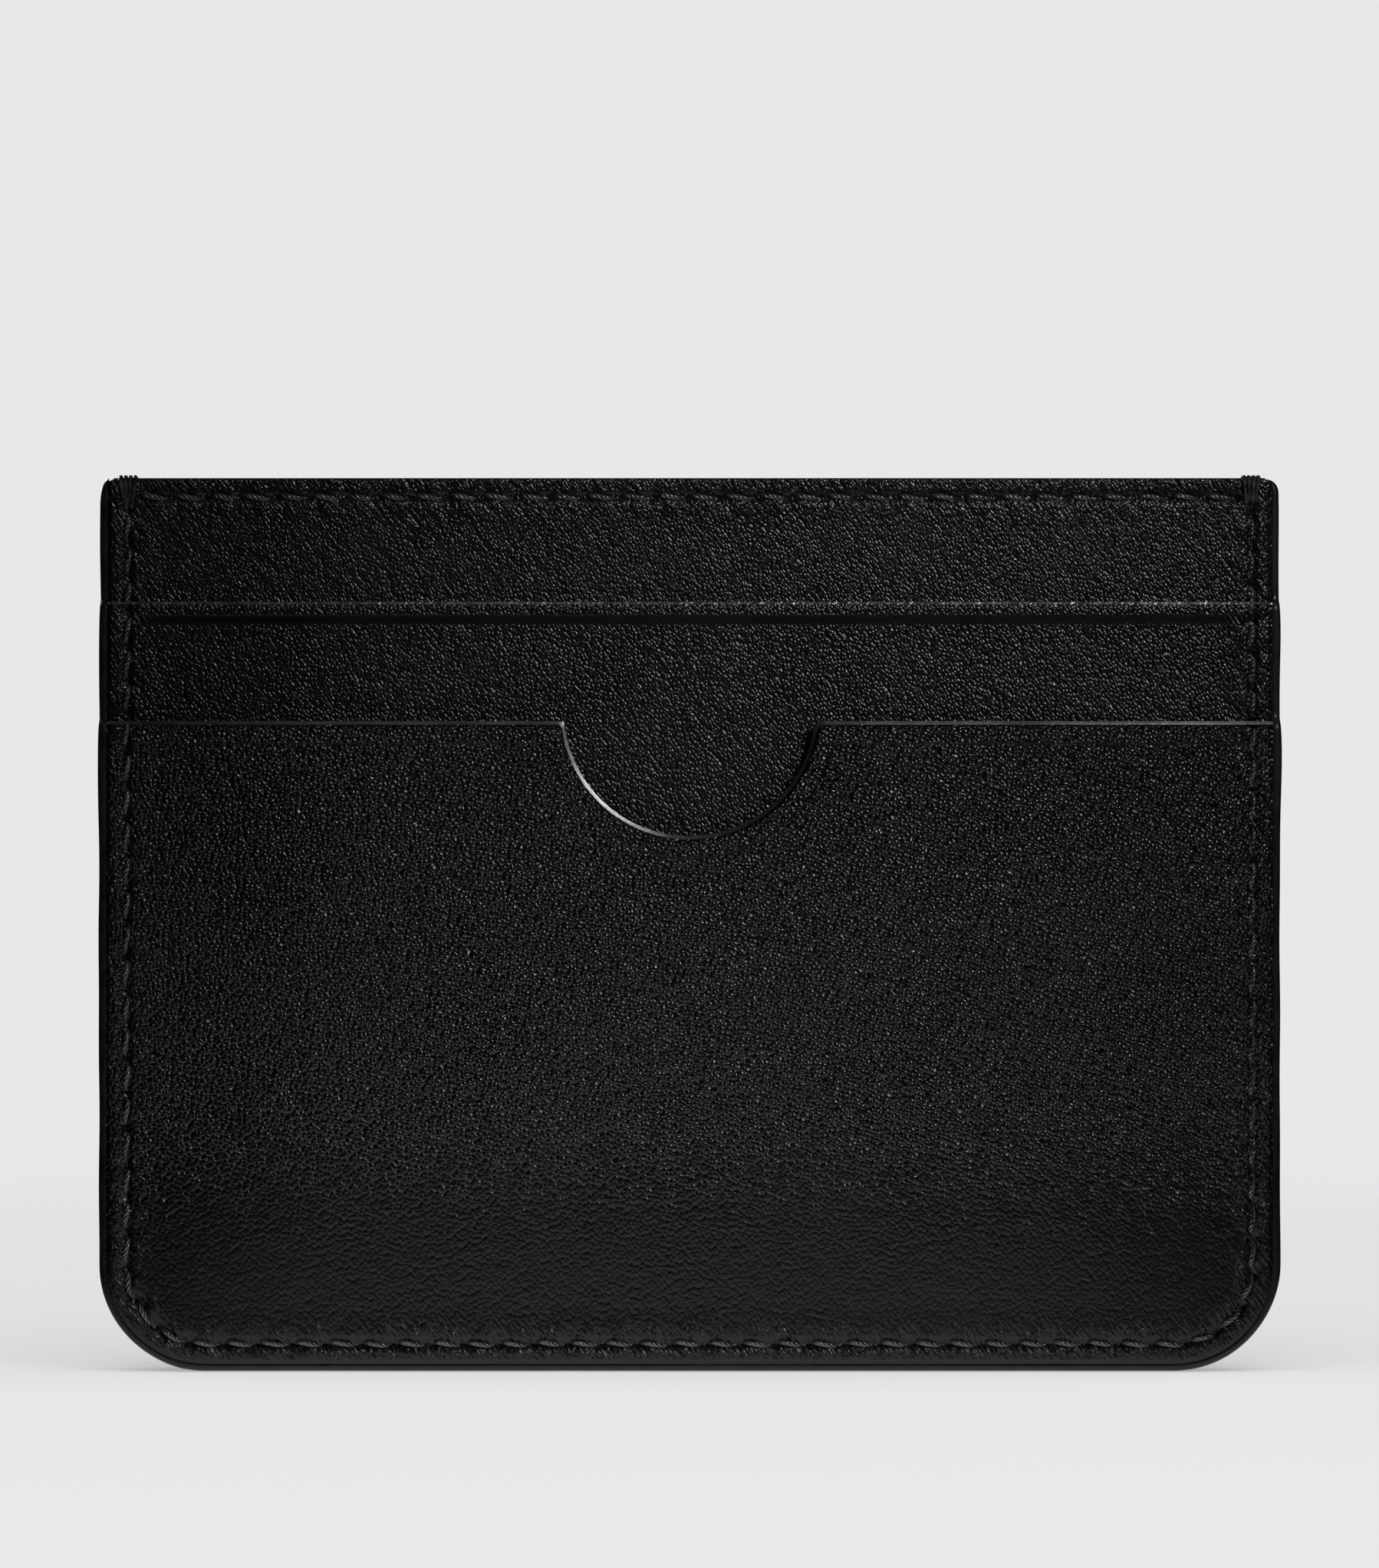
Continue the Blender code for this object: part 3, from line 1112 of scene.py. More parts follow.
@dataclass(frozen=True)
class Thread:
    """Black bonded thread of three plies, drawn on the UV map of a tube: round it, and along it from its end.

    Attributes:
        name: The material's name.
        twist: How many plies pass along the whole of the tube, below 0 where they lean the other way.
        relief: The height of its plies.
        hair: The height of its filaments.
        shine: Its specular level.
        patch: The size of the places where its colour changes.
        rough: The roughness between its plies and on them.
        deep: The colour between its plies, darker there as painted shade.
        top: The colour on them, lighter there as a painted highlight.
    """

    name: str
    twist: float
    relief: float = 0.12 * MM
    hair: float = 0.012 * MM
    shine: float = 0.9
    patch: float = 4.0 * MM
    rough: tuple[float, float] = (0.50, 0.28)
    deep: Colour = (0.0008, 0.0009, 0.0009, 1.0)
    top: Colour = (0.028, 0.0300, 0.0290, 1.0)

    def material(self, effects: Effects) -> bpy.types.Material:
        """Builds the thread.

        Args:
            effects: The shared node groups.

        Returns:
            The material.
        """
        made, graph, shader = fresh_material(self.name)
        coords = graph.add("TexCoord").outputs
        inputs = {"Vector": coords["UV"], "Twist": self.twist}
        plies = Effects.place(graph, effects.plies, inputs).outputs
        inputs = {"Vector": coords["Object"], "Size": self.patch}
        handling = Effects.place(graph, effects.handling, inputs).outputs
        # The plies' crests take the light colour and the grooves between them the dark one, in random
        # patches: painted highlight and painted shade.
        share = graph.maths("MULTIPLY", plies["Height"], handling["Patchy"])
        colour = graph.blend(share, self.deep, self.top)
        rough = graph.remap(plies["Height"], 0.3, 0.95, *self.rough)
        hairs = graph.bump(plies["Filaments"], self.hair)
        skin(graph, shader, colour, rough, graph.bump(plies["Height"], self.relief, hairs), self.shine)
        return made


@dataclass(frozen=True)
class Lining:
    """Thin black woven lining.

    Attributes:
        name: The material's name.
        spacing: From one thread of the weave to the next.
        relief: The height of the weave.
        shine: Its specular level.
        patch: Fourteen times the distance between places that may hold a speck of lint.
        rough: The roughness of its hollows and of its tops.
        weft: The colour of the threads across.
        warp: The colour of the threads along.
        lint: The colour of the specks on it.
    """

    name: str = "black_lining"
    spacing: float = 0.22 * MM
    relief: float = 0.03 * MM
    shine: float = 0.5
    patch: float = 10.0 * MM
    rough: tuple[float, float] = (0.85, 0.62)
    weft: Colour = (0.012, 0.012, 0.013, 1.0)
    warp: Colour = (0.020, 0.020, 0.021, 1.0)
    lint: Colour = (0.16, 0.16, 0.16, 1.0)

    def material(self, effects: Effects) -> bpy.types.Material:
        """Builds the cloth.

        Args:
            effects: The shared node groups.

        Returns:
            The material.
        """
        made, graph, shader = fresh_material(self.name)
        where = graph.add("TexCoord").outputs["Object"]
        inputs = {"Vector": where, "Scale": (self.spacing, self.spacing, self.spacing)}
        cells = graph.add("Mapping", inputs, vector_type="TEXTURE").outputs[0]
        weave = Effects.place(graph, effects.weave, {"Vector": cells}).outputs
        handling = Effects.place(graph, effects.handling, {"Vector": where, "Size": self.patch}).outputs
        colour = graph.blend(weave["Warp"], self.weft, self.warp)
        colour = graph.blend(handling["Lint"], colour, self.lint)
        rough = graph.remap(weave["Height"], 0.0, 1.0, *self.rough)
        skin(graph, shader, colour, rough, graph.bump(weave["Height"], self.relief), self.shine)
        return made


def fresh_material(name: str) -> tuple[bpy.types.Material, Graph, bpy.types.Node]:
    """An empty material.

    Args:
        name: Its name.

    Returns:
        The material, its graph and its Principled shader.
    """
    made = bpy.data.materials.new(name)
    made.use_nodes = True
    return made, Graph(made.node_tree), made.node_tree.nodes["Principled BSDF"]


def skin(
    graph: Graph, shader: bpy.types.Node, colour: Value, rough: Value, normal: Value, shine: float
) -> None:
    """Gives a Principled shader its surface.

    Args:
        graph: The material's graph.
        shader: The shader.
        colour: The base colour.
        rough: The roughness.
        normal: The surface with its relief.
        shine: The specular level.
    """
    surface = {"Base Color": colour, "Roughness": rough, "Normal": normal, "Specular IOR Level": shine}
    graph.feed(shader, surface)


class Finishes:
    """The holder's materials."""

    def __init__(self) -> None:
        """Builds the materials on one set of shared effects."""
        effects = Effects()
        panel = Leather("panel_calf", 0.225 * MM, 1.6, streak=0.45, relief=0.075 * MM, rough=(0.32, 0.27))
        upper = Leather("upper_pocket_calf", 0.26 * MM, 1.4, relief=0.095 * MM, rough=(0.31, 0.26))
        lower = Leather("lower_pocket_calf")
        leathers = (panel, upper, lower)
        self.leathers = {layer: leather.material(effects) for layer, leather in zip(Layer, leathers)}
        self.rim_paint = EdgePaint("rim_paint", shine=0.22).material(effects)
        paints = (
            EdgePaint("panel_edge_paint", 0.05 * MM, 0.3),
            EdgePaint("upper_mouth_paint", 0.15 * MM, 1.0),
            EdgePaint("lower_mouth_paint"),
        )
        self.mouth_paints = {layer: paint.material(effects) for layer, paint in zip(Layer, paints)}
        self.thread = Thread("black_thread", 4.5).material(effects)
        self.tack = Thread("tack_thread", -30.0, shine=0.3).material(effects)
        self.lining = Lining().material(effects)


# --------------------------------------------------------------------------------------------------
# The leathers with their linings and painted mouths
# --------------------------------------------------------------------------------------------------


def seam_stretches(seam: float, edge: float, fine: float) -> list[tuple[float, float]]:
    """The stretches of a grid out over a seam to the edge beyond it, for graded().

    Args:
        seam: The seam's place.
        edge: The edge's.
        fine: The step before the seam.

    Returns:
        Pairs of an end and a step.
    """
    return [
        (seam - 3.0 * MM, fine),
        (seam - 0.8 * MM, 0.30 * MM),
        (seam + 0.8 * MM, 0.16 * MM),
        (edge - 0.35 * MM, 0.25 * MM),
        (edge, 0.09 * MM),
    ]


@dataclass(frozen=True)
class Sheet:
    """One leather of a half, with its lining and the paint on its upper edge.

    Attributes:
        plan: The holder's sizes.
        stitching: The rows of stitches that draw it in.
        layer: Which leather it is.
        swell: How far it bows out between the seams.
        edge_roll: How far its front falls away at the mouth.
        bevel: The slope of the paint's face at the very edge.
        crease: The distance of the pressed line from the mouth, or 0 for none.
        crease_depth: Of that line.
        crease_width: Of that line.
        crease_step: How far the leather below that line lies behind the leather above it.
        foot: Its lower end.
        edge_reach: How far below the mouth its front begins to fall away.
        paint: How far the paint reaches down from the mouth.
        shoulder: The radius of the panel's upper corners.
    """

    plan: Plan
    stitching: Stitching
    layer: Layer
    swell: float
    edge_roll: float
    bevel: float
    crease: float = 0.0
    crease_depth: float = 0.0
    crease_width: float = 0.0
    crease_step: float = 0.0
    foot: float = 0.0
    edge_reach: float = 0.75 * MM
    paint: float = 0.25 * MM
    shoulder: float = 0.6 * MM

    @property
    def mouth(self) -> float:
        """The height of its upper edge."""
        return self.plan.mouths[self.layer]

    @property
    def low_edge(self) -> float:
        """The height of its lower edge."""
        return max(self.foot, self.plan.sheet_edge)

    @property
    def notch(self) -> bool:
        """Whether its mouth has the thumb notch."""
        return self.layer is Layer.LOWER

    def bow(self, x: Array, z: Array) -> Array:
        """How far the sheet bows forward: nothing at the seams, and most in the middle."""
        plan = self.plan
        from_side, from_foot = 17.0 * MM, 20.0 * MM
        side = ramp(plan.seam_half_width - np.abs(x), 0.0, from_side)
        below = ramp(z, plan.seam_inset, plan.seam_inset + from_foot)
        return self.swell * side * below

    def outline(self, x: Array, drop: Array) -> tuple[Array, Array]:
        """Where a straight grid's points go on this sheet.

        Args:
            x: Across, on the straight grid.
            drop: Distance from the mouth.

        Returns:
            Their x and z.
        """
        if self.notch:
            x, z = self.plan.notched(x, drop)
        else:
            z = self.mouth - drop
        if self.layer is Layer.PANEL:
            x, z = self.plan.round_shoulders(x, z, self.mouth - self.paint, self.shoulder)
        return self.plan.round_feet(x, z)

    def relief(self, x: Array, z: Array, drop: Array) -> Array:
        """The front's own relief, on top of the bow: seams, crease and rounded edges.

        Args:
            x: Across.
            z: Up.
            drop: Distance from the mouth.

        Returns:
            How far forward of the bowed sheet the leather lies, mostly below 0.
        """
        pucker = Pucker()
        inset = self.plan.inset(x, z)
        off, phase = self.stitching.sides_off(x, z)
        sunk = pucker.depth_at(off, phase) * (z < self.plan.seam_start + 2.0 * MM)
        if self.layer is Layer.PANEL:
            off, phase = self.stitching.top_off(x, z)
            sunk = sunk + pucker.depth_at(off, phase) * (np.abs(x) < self.plan.top_reach)
        strip_height, strip_width = 0.05 * MM, 0.6 * MM
        strip = strip_height * bell(inset - self.plan.seam_inset / 2 - self.plan.rim / 2, strip_width)
        roll_depth, roll_width = 0.10 * MM, 0.35 * MM
        rim_roll = roll_depth * ramp(inset, self.plan.sheet_edge + roll_width, self.plan.sheet_edge)
        line = self.crease_depth * self.creased(x, drop)
        if self.crease_step:
            soft, fade = 0.04 * MM, 0.9 * MM
            fall = ramp(drop, self.crease - soft, self.crease + soft)
            fall = fall * np.exp(-np.maximum(drop - self.crease, 0.0) / fade)
            line = line + self.crease_step * fall
        return strip - sunk - rim_roll - self.rolled(drop) - line

    def rolled(self, drop: Array | float) -> Array:
        """How far the front falls away at a distance from the mouth."""
        return self.edge_roll * np.clip(1.0 - np.asarray(drop) / self.edge_reach, 0.0, 1.0) ** 1.25

    def gathered(self, x: Array, z: Array) -> Array:
        """How strongly the seams fold the leather.

        Args:
            x: Across.
            z: Up.

        Returns:
            0 to 1, most between a seam and the edge beside it.
        """
        off, _ = self.stitching.sides_off(x, z)
        folds = ramp(off, 3.2 * MM, 0.2 * MM) * ramp(off, -1.9 * MM, -1.2 * MM) * (z < self.plan.seam_start)
        if self.layer is Layer.PANEL:
            off, _ = self.stitching.top_off(x, z)
            folds = np.maximum(folds, 0.8 * ramp(off, 2.6 * MM, 0.2 * MM))
        return folds

    def creased(self, x: Array, drop: Array) -> Array:
        """How deep in the pressed line points lie.

        Args:
            x: Across.
            drop: Distance from the mouth.

        Returns:
            0 outside the line to 1 in it.
        """
        if not self.crease:
            return np.zeros(np.shape(drop))
        ends = ramp(self.plan.seam_half_width - np.abs(x), 0.4 * MM, 0.9 * MM)
        half = self.crease_width / 2
        return ramp(np.abs(drop - self.crease), half + 0.05 * MM, half - 0.05 * MM) * ends

    def columns(self, fine: float) -> Array:
        """The grid's lines across, closer at the seams.

        Args:
            fine: The step in the middle.

        Returns:
            The lines from left to right.
        """
        outwards = seam_stretches(self.plan.seam_half_width, self.plan.sheet_half_width, fine)
        right = graded((0.0, fine), *outwards)
        return np.concatenate([-right[:0:-1], right])

    def rows(self, fine: float, hidden: float, shown: float) -> Array:
        """The grid's lines down from the mouth, closer at the edge, the crease and the seams.

        Args:
            fine: The step in what shows.
            hidden: The step in what other leathers cover.
            shown: How far below the mouth the sheet shows.

        Returns:
            The lines, as distances from the mouth.
        """
        start = self.paint + 0.02 * MM
        stretches = [(start, 0.0), (start + 0.5 * MM, 0.06 * MM)]
        if self.crease:
            half = self.crease_width / 2 + 0.10 * MM
            stretches += [(self.crease - half, 0.25 * MM), (self.crease + half, 0.04 * MM)]
        if self.layer is Layer.PANEL:
            seam = self.mouth - self.plan.top_seam
            stretches += [(seam - 0.8 * MM, 0.15 * MM), (seam + 0.9 * MM, 0.14 * MM)]
            stretches += [(seam + 2.0 * MM, 0.25 * MM)]
        end = self.mouth - self.low_edge
        if shown < end - 5.0 * MM:
            stretches += [(shown, fine), (end, hidden)]
        else:
            stretches += seam_stretches(self.mouth - self.plan.seam_inset, end, fine)
        return graded(*stretches)

    def leather(self, name: str, fine: float, shown: float) -> bpy.types.Object:
        """Builds the leather.

        Args:
            name: The piece's name.
            fine: The grid's step in what shows.
            shown: How far below the mouth it shows.

        Returns:
            The leather, stood as the front half.
        """
        inner, outer = self.plan.faces[self.layer.value]
        drops: list[Array] = []

        def place(x: Array, drop: Array, skin: Array) -> Array:
            """Draws the grid's points to the sheet."""
            drops.extend([x, drop, skin])
            px, pz = self.outline(x, drop)
            front = outer + self.relief(px, pz, drop)
            forward = np.where(skin > 0.5, front, inner) + self.bow(px, pz)
            return np.stack([px, forward, pz], axis=1)

        piece = slab(name, self.columns(fine), self.rows(fine, 2.5 * MM, shown), place)
        x, drop, skin = drops
        edge = ramp(drop, self.paint + 0.30 * MM, self.paint) * (0.8 if self.notch else 0.0)
        set_attribute(piece, PRESSED, np.maximum(self.creased(x, drop), edge) * (skin > 0.5))
        set_attribute(piece, GATHERED, self.gathered(*self.outline(x, drop)) * (skin > 0.5))
        return piece

    def cloth(self, name: str) -> bpy.types.Object:
        """Builds the lining.

        Args:
            name: The piece's name.

        Returns:
            The lining, stood as the front half.
        """
        inner, outer = self.plan.faces[self.layer.value + "_lining"]
        half = self.plan.sheet_half_width
        start = self.paint + 0.02 * MM
        end = self.mouth - self.low_edge

        def place(x: Array, drop: Array, skin: Array) -> Array:
            """Draws the grid's points to the lining."""
            px, pz = self.outline(x, drop)
            forward = np.where(skin > 0.5, outer, inner) + self.bow(px, pz)
            return np.stack([px, forward, pz], axis=1)

        columns = graded((-half, 0.0), (half, 0.8 * MM))
        rows = graded((start, 0.0), (start + 4.0 * MM, 0.5 * MM), (end, 1.2 * MM))
        return slab(name, columns, rows, place)

    def painted_mouth(self, name: str) -> bpy.types.Object:
        """Builds the coat of paint on the upper edge, from the leather's roll over to the lining.

        Args:
            name: The piece's name.

        Returns:
            The coat, stood as the front half.
        """
        plan = self.plan
        inner = plan.faces[self.layer.value + "_lining"][0]
        reach = plan.sheet_half_width - (0.5 * MM if self.layer is Layer.PANEL else 0.0)
        x = graded((-reach, 0.0), (reach, 0.3 * MM))
        deep = self.paint + 0.04 * MM
        start = plan.faces[self.layer.value][1] - self.rolled(deep) + 0.006 * MM
        first = 1.25 * self.edge_roll / self.edge_reach * (1.0 - deep / self.edge_reach) ** 0.25
        down = np.array([0.0, 0.3, 0.6, 0.85, 1.0]) * deep
        face = start - first * down - (self.bevel - first) * down**2 / (2.0 * deep)
        middle = (face[-1] + inner) / 2
        low = np.concatenate([deep - down, [0.0, -0.03 * MM, 0.0, 0.06 * MM, deep, deep]])
        rest = [face[-1] - 0.05 * MM, middle, inner + 0.05 * MM, inner, inner, start - 0.1 * MM]
        forward = np.concatenate([face, rest])
        rings = np.empty((len(x), len(low), 3))
        low_x, low_z = self._edge_line(x, deep)
        bow = self.bow(low_x, low_z)
        for k, drop in enumerate(low):
            rings[:, k, 0], rings[:, k, 2] = self._edge_line(x, max(drop, 0.0))
            rings[:, k, 2] -= min(drop, 0.0)
            rings[:, k, 1] = forward[k] + bow
        return swept(name, rings)

    def _edge_line(self, x: Array, drop: float) -> tuple[Array, Array]:
        """The mouth's line at a distance from its edge."""
        if self.notch:
            return self.plan.notched(x, np.full(len(x), drop))
        return x, np.full(len(x), self.mouth - drop)

    def build(self, finishes: Finishes, fine: float, shown: float) -> None:
        """Builds and dresses the sheet's three pieces on both halves.

        Args:
            finishes: The materials.
            fine: The grid's step in what shows.
            shown: How far below the mouth the leather shows.
        """
        node = self.layer.value
        name = Half.FRONT.own(node)
        leather, cloth = self.leather(name + "_leather", fine, shown), self.cloth(name + "_cloth")
        paint = self.painted_mouth(name + "_paint")
        back_leather = settle_both(leather, finishes.leathers[self.layer], node)
        back_cloth = settle_both(cloth, finishes.lining, node + "_lining")
        settle_both(paint, finishes.mouth_paints[self.layer], node + "_edge")

    @property
    def cut(self) -> tuple[float, float]:
        """The width and height of the rectangle that the sheet is cut from."""
        return 2 * self.plan.sheet_half_width, self.mouth - self.paint - self.low_edge

    @property
    def cut_area(self) -> float:
        """The area of the sheet as cut, less its round corners and the notch."""
        corners = (2 - math.pi / 2) * (self.plan.corner_radius - self.plan.sheet_edge) ** 2
        notch = self.plan.notch_radius * (self.plan.notch_radius * math.pi / 2 - 2 * self.plan.notch_rise)
        return self.cut[0] * self.cut[1] - corners - (notch if self.notch else 0.0)


class TeePocket(Sheet):
    """The upper pocket, whose hidden part is a tongue narrower than the holder."""

    def outline(self, x: Array, drop: Array) -> tuple[Array, Array]:
        """Draws the sheet in to the tongue below its ears."""
        ears = self.plan.mouths[Layer.LOWER] - self.plan.ear_depth
        z = self.mouth - drop
        share = self.plan.tongue_half_width / self.plan.sheet_half_width
        narrow = ramp(z, ears, ears - 2.5 * MM)
        return x * (1.0 + (share - 1.0) * narrow), z

    @property
    def cut_area(self) -> float:
        """The area of the ears' band and of the tongue below it."""
        ears = self.plan.mouths[Layer.LOWER] - self.plan.ear_depth
        tongue = 2 * self.plan.tongue_half_width * (ears - self.foot)
        return self.cut[0] * (self.mouth - self.paint - ears) + tongue


# --------------------------------------------------------------------------------------------------
# The rim
# --------------------------------------------------------------------------------------------------


@dataclass(frozen=True)
class PaintedRim:
    """The painted edge round the sides and the foot, which steps back where each pocket begins.

    Attributes:
        plan: The holder's sizes.
        rounding: Of its outer corners.
        left_shoulder: How far across and down it turns in at its upper left end.
        right_shoulder: The same at its upper right end.
        waver: How far the painted edge strays from a true line.
        waves: The length, in millimetres, and the start of each wave in that.
        swell: How far the sides stand out just below each mouth.
        fade: How far below the mouth they stand out most.
        step: Half the height over which the rim steps back at a mouth.
        sunk: How far the rim lies below the outermost leather.
    """

    plan: Plan
    rounding: float = 0.42 * MM
    left_shoulder: tuple[float, float] = (0.75 * MM, 2.2 * MM)
    right_shoulder: tuple[float, float] = (1.1 * MM, 1.2 * MM)
    waver: float = 0.06 * MM
    waves: tuple[tuple[float, float], ...] = ((3.1, 0.4), (7.3, 2.0), (1.7, 4.1))
    swell: float = 0.10 * MM
    fade: float = 3.0 * MM
    step: float = 0.3 * MM
    sunk: float = 0.06 * MM

    def line(self) -> tuple[Array, Array, Array, Array, Array]:
        """The rim's route.

        Returns:
            x, z, the outward direction's x and z, and the rim's depth from outside to inside, at each
            station.
        """
        plan = self.plan
        path = SidesPath(plan, 0.0, plan.height)
        across, down = self.left_shoulder
        far_across, far_down = self.right_shoulder
        s = graded((down, 0.0), (path.length - far_down, 0.35 * MM))
        parts = [self.shoulder(across, down, -1.0)]
        parts.append((*path.point(s), np.full(len(s), plan.rim)))
        parts.append(tuple(values[::-1] for values in self.shoulder(far_across, far_down, 1.0)))
        x, z, out_x, out_z, deep = (np.concatenate(values) for values in zip(*parts))
        proud = np.zeros(len(x))
        for layer in (Layer.UPPER, Layer.LOWER):
            below = (plan.mouths[layer] - z) / self.fade
            proud += self.swell * np.where(below > 0.0, below * np.exp(1.0 - np.maximum(below, 0.0)), 0.0)
        proud *= np.abs(out_x)
        return x + proud * out_x, z, out_x, out_z, deep + proud

    def shoulder(self, across: float, down: float, side: float) -> tuple[Array, Array, Array, Array, Array]:
        """An upper end of the rim, which turns in as a quarter of an ellipse.

        Args:
            across: Its width.
            down: Its height.
            side: -1 on the left and 1 on the right.

        Returns:
            The same as line(), from the top edge down to just above the straight side.
        """
        plan = self.plan
        turn = np.linspace(math.pi / 2, 0.0, 11)[:-1]
        x = side * (plan.half_width - across + across * np.cos(turn))
        z = plan.height - down + down * np.sin(turn)
        out_x, out_z = side * down * np.cos(turn), across * np.sin(turn)
        size = np.hypot(out_x, out_z)
        deep = plan.coat + (plan.rim - plan.coat) * ramp(turn, math.pi / 2, 0.0)
        return x, z, out_x / size, out_z / size, deep

    def section(self, reach: Array, deep: Array) -> tuple[Array, Array]:
        """The rim's section at each station.

        Args:
            reach: Half its thickness.
            deep: How far it reaches inwards.

        Returns:
            How far inside the outline, and how far forward, each of the section's points lies.
        """
        turn = np.linspace(0.0, math.pi / 2, 5)
        curve_in = self.rounding * (1.0 - np.sin(turn))
        curve_back = self.rounding * (1.0 - np.cos(turn))
        inward = [deep, deep * 0.8] + [np.full(len(reach), c) for c in curve_in]
        forward = [reach - 0.03 * MM, reach] + [reach - c for c in curve_back]
        inward.append(np.full(len(reach), -0.03 * MM))
        forward.append(np.zeros(len(reach)))
        inward += [inward[k] for k in range(6, -1, -1)]
        forward += [-forward[k] for k in range(6, -1, -1)]
        return np.stack(inward, axis=1), np.stack(forward, axis=1)

    def build(self, finishes: Finishes) -> None:
        """Builds and dresses the rim.

        Args:
            finishes: The materials.
        """
        x, z, out_x, out_z, deep = self.line()
        reach = self.plan.level(z, self.step) - self.sunk
        inward, forward = self.section(reach, deep)
        s = np.cumsum(np.hypot(np.diff(x, prepend=x[0]), np.diff(z, prepend=z[0])))
        stray = sum(np.sin(s / (length * MM) + start) for length, start in self.waves) / len(self.waves)
        stray = np.where(z < 0.2 * MM, 0.0, stray) * self.waver - self.waver
        inward = inward - np.where(inward < deep[:, None] * 0.7, stray[:, None], 0.0)
        across, up = x[:, None] - inward * out_x[:, None], z[:, None] - inward * out_z[:, None]
        rings = np.stack([across, forward, np.maximum(up, 0.0)], axis=2)
        piece = swept("painted_rim_bead", rings)
        settle(piece, finishes.rim_paint, "painted_rim")


# --------------------------------------------------------------------------------------------------
# The thread
# --------------------------------------------------------------------------------------------------


def round_rings(path: Array, aside: Array, radius: Array, around: int) -> Array:
    """Round rings along a thread's path.

    Args:
        path: The centreline, as rows of x, forward and z.
        aside: A direction that the path never follows, from which the rings' own are worked out.
        radius: The thread's radius at each point.
        around: The points in a ring.

    Returns:
        The rings, for swept().
    """
    ahead = np.gradient(path, axis=0)
    ahead /= np.linalg.norm(ahead, axis=1, keepdims=True)
    first = aside - ahead * (ahead @ aside)[:, None]
    first /= np.linalg.norm(first, axis=1, keepdims=True)
    second = np.cross(ahead, first)
    angle = np.linspace(0.0, 2 * math.pi, around, endpoint=False)
    out_first = (radius[:, None] * np.cos(angle))[:, :, None] * first[:, None, :]
    out_second = (radius[:, None] * np.sin(angle))[:, :, None] * second[:, None, :]
    return path[:, None, :] + out_first + out_second


@dataclass(frozen=True)
class StitchRow:
    """A row of separate stitches, each of which comes up through one hole and goes down through the next.

    Attributes:
        plan: The holder's sizes.
        stitching: Where the rows run.
        proud: How far the middle of a stitch stands off the leather's free surface.
        sunk: How far its ends go down into the holes.
        slant: How far one end lies above the row, and the other below it.
        span: A stitch's length, as a share of the pitch.
        start: Where it begins, as a share of the pitch from the middle between two holes.
        spread: How much each stitch strays forward, across and in length, at random.
        rings: The rings of one stitch.
        around: The points in each ring.
    """

    plan: Plan
    stitching: Stitching
    proud: float = 0.05 * MM
    sunk: float = 0.46 * MM
    slant: float = 0.16 * MM
    span: float = 0.74
    start: float = -0.45
    spread: tuple[float, float, float] = (0.012 * MM, 0.03 * MM, 0.02)
    rings: int = 9
    around: int = 8

    def stitch(self, pitch: float) -> bpy.types.Object:
        """Models one stitch, from hole to hole along x, with z across the row.

        Args:
            pitch: From hole to hole.

        Returns:
            The stitch, at the origin.
        """
        share = np.linspace(0.0, 1.0, self.rings)
        arch = np.sin(math.pi * share**0.75) ** 0.7
        x = (share * self.span + self.start) * pitch
        forward = -self.sunk + (self.sunk + self.proud) * arch
        across = self.slant * np.cos(math.pi * share)
        path = np.stack([x, forward, across], axis=1)
        radius = self.plan.thread / 2 * (0.70 + 0.40 * arch)
        rings = round_rings(path, np.array([0.0, 0.0, 1.0]), radius, self.around)
        return swept("stitch", rings, THREAD_BEND)

    def row(self, name: str, count: int, length: float, lay: Placer) -> bpy.types.Object:
        """Copies the stitch along a row.

        Args:
            name: The piece's name.
            count: The number of stitches.
            length: The row's length.
            lay: Gives x, forward and z from the distances along the row, across it and forward of the
                leather.

        Returns:
            All the stitches as one object, stood as the front half.
        """
        draw = np.random.default_rng(count)
        pitch = length / count
        model = self.stitch(pitch)
        own = points_of(model) * (1.0, -1.0, 1.0)
        stitches = []
        for k in range(count):
            one = copy_of(model, f"{name}_{k}")
            loose, shift, grown = (draw.normal(0.0, spread) for spread in self.spread)
            along = (k + 0.5) * pitch + own[:, 0] * (1.0 + grown)
            placed = lay(along, own[:, 2] + shift, own[:, 1] + loose)
            set_points(one, placed * (1.0, -1.0, 1.0))
            stitches.append(one)
        bpy.data.objects.remove(model)
        return joined(stitches, name)

    def build(self, finishes: Finishes) -> None:
        """Builds and dresses the seams of both halves.

        Args:
            finishes: The materials.
        """
        plan, stitching = self.plan, self.stitching
        path = stitching.sides
        depth = Pucker().depth
        bed = 0.6 * plan.thread / 2
        step = 0.8 * MM

        def on_sides(s: Array, across: Array, forward: Array) -> Array:
            """Lays points along the side and bottom seam."""
            x, z, out_x, out_z = path.point(s)
            x, z = x - out_x * across, z - out_z * across
            return np.stack([x, plan.level(z, step) - depth + bed + forward, z], axis=1)

        def on_top(s: Array, across: Array, forward: Array) -> Array:
            """Lays points along the top seam."""
            x = s - plan.top_reach
            level = plan.faces[Layer.PANEL.value][1] - depth + bed
            return np.stack([x, level + forward, plan.top_seam + across], axis=1)

        rows = (
            ("perimeter_stitching", stitching.side_count, path.length, on_sides),
            ("top_stitching", stitching.top_count, 2 * plan.top_reach, on_top),
        )
        for node, count, length, lay in rows:
            front = self.row(Half.FRONT.own(node + "_stitches"), count, length, lay)
            settle_both(front, finishes.thread, node)


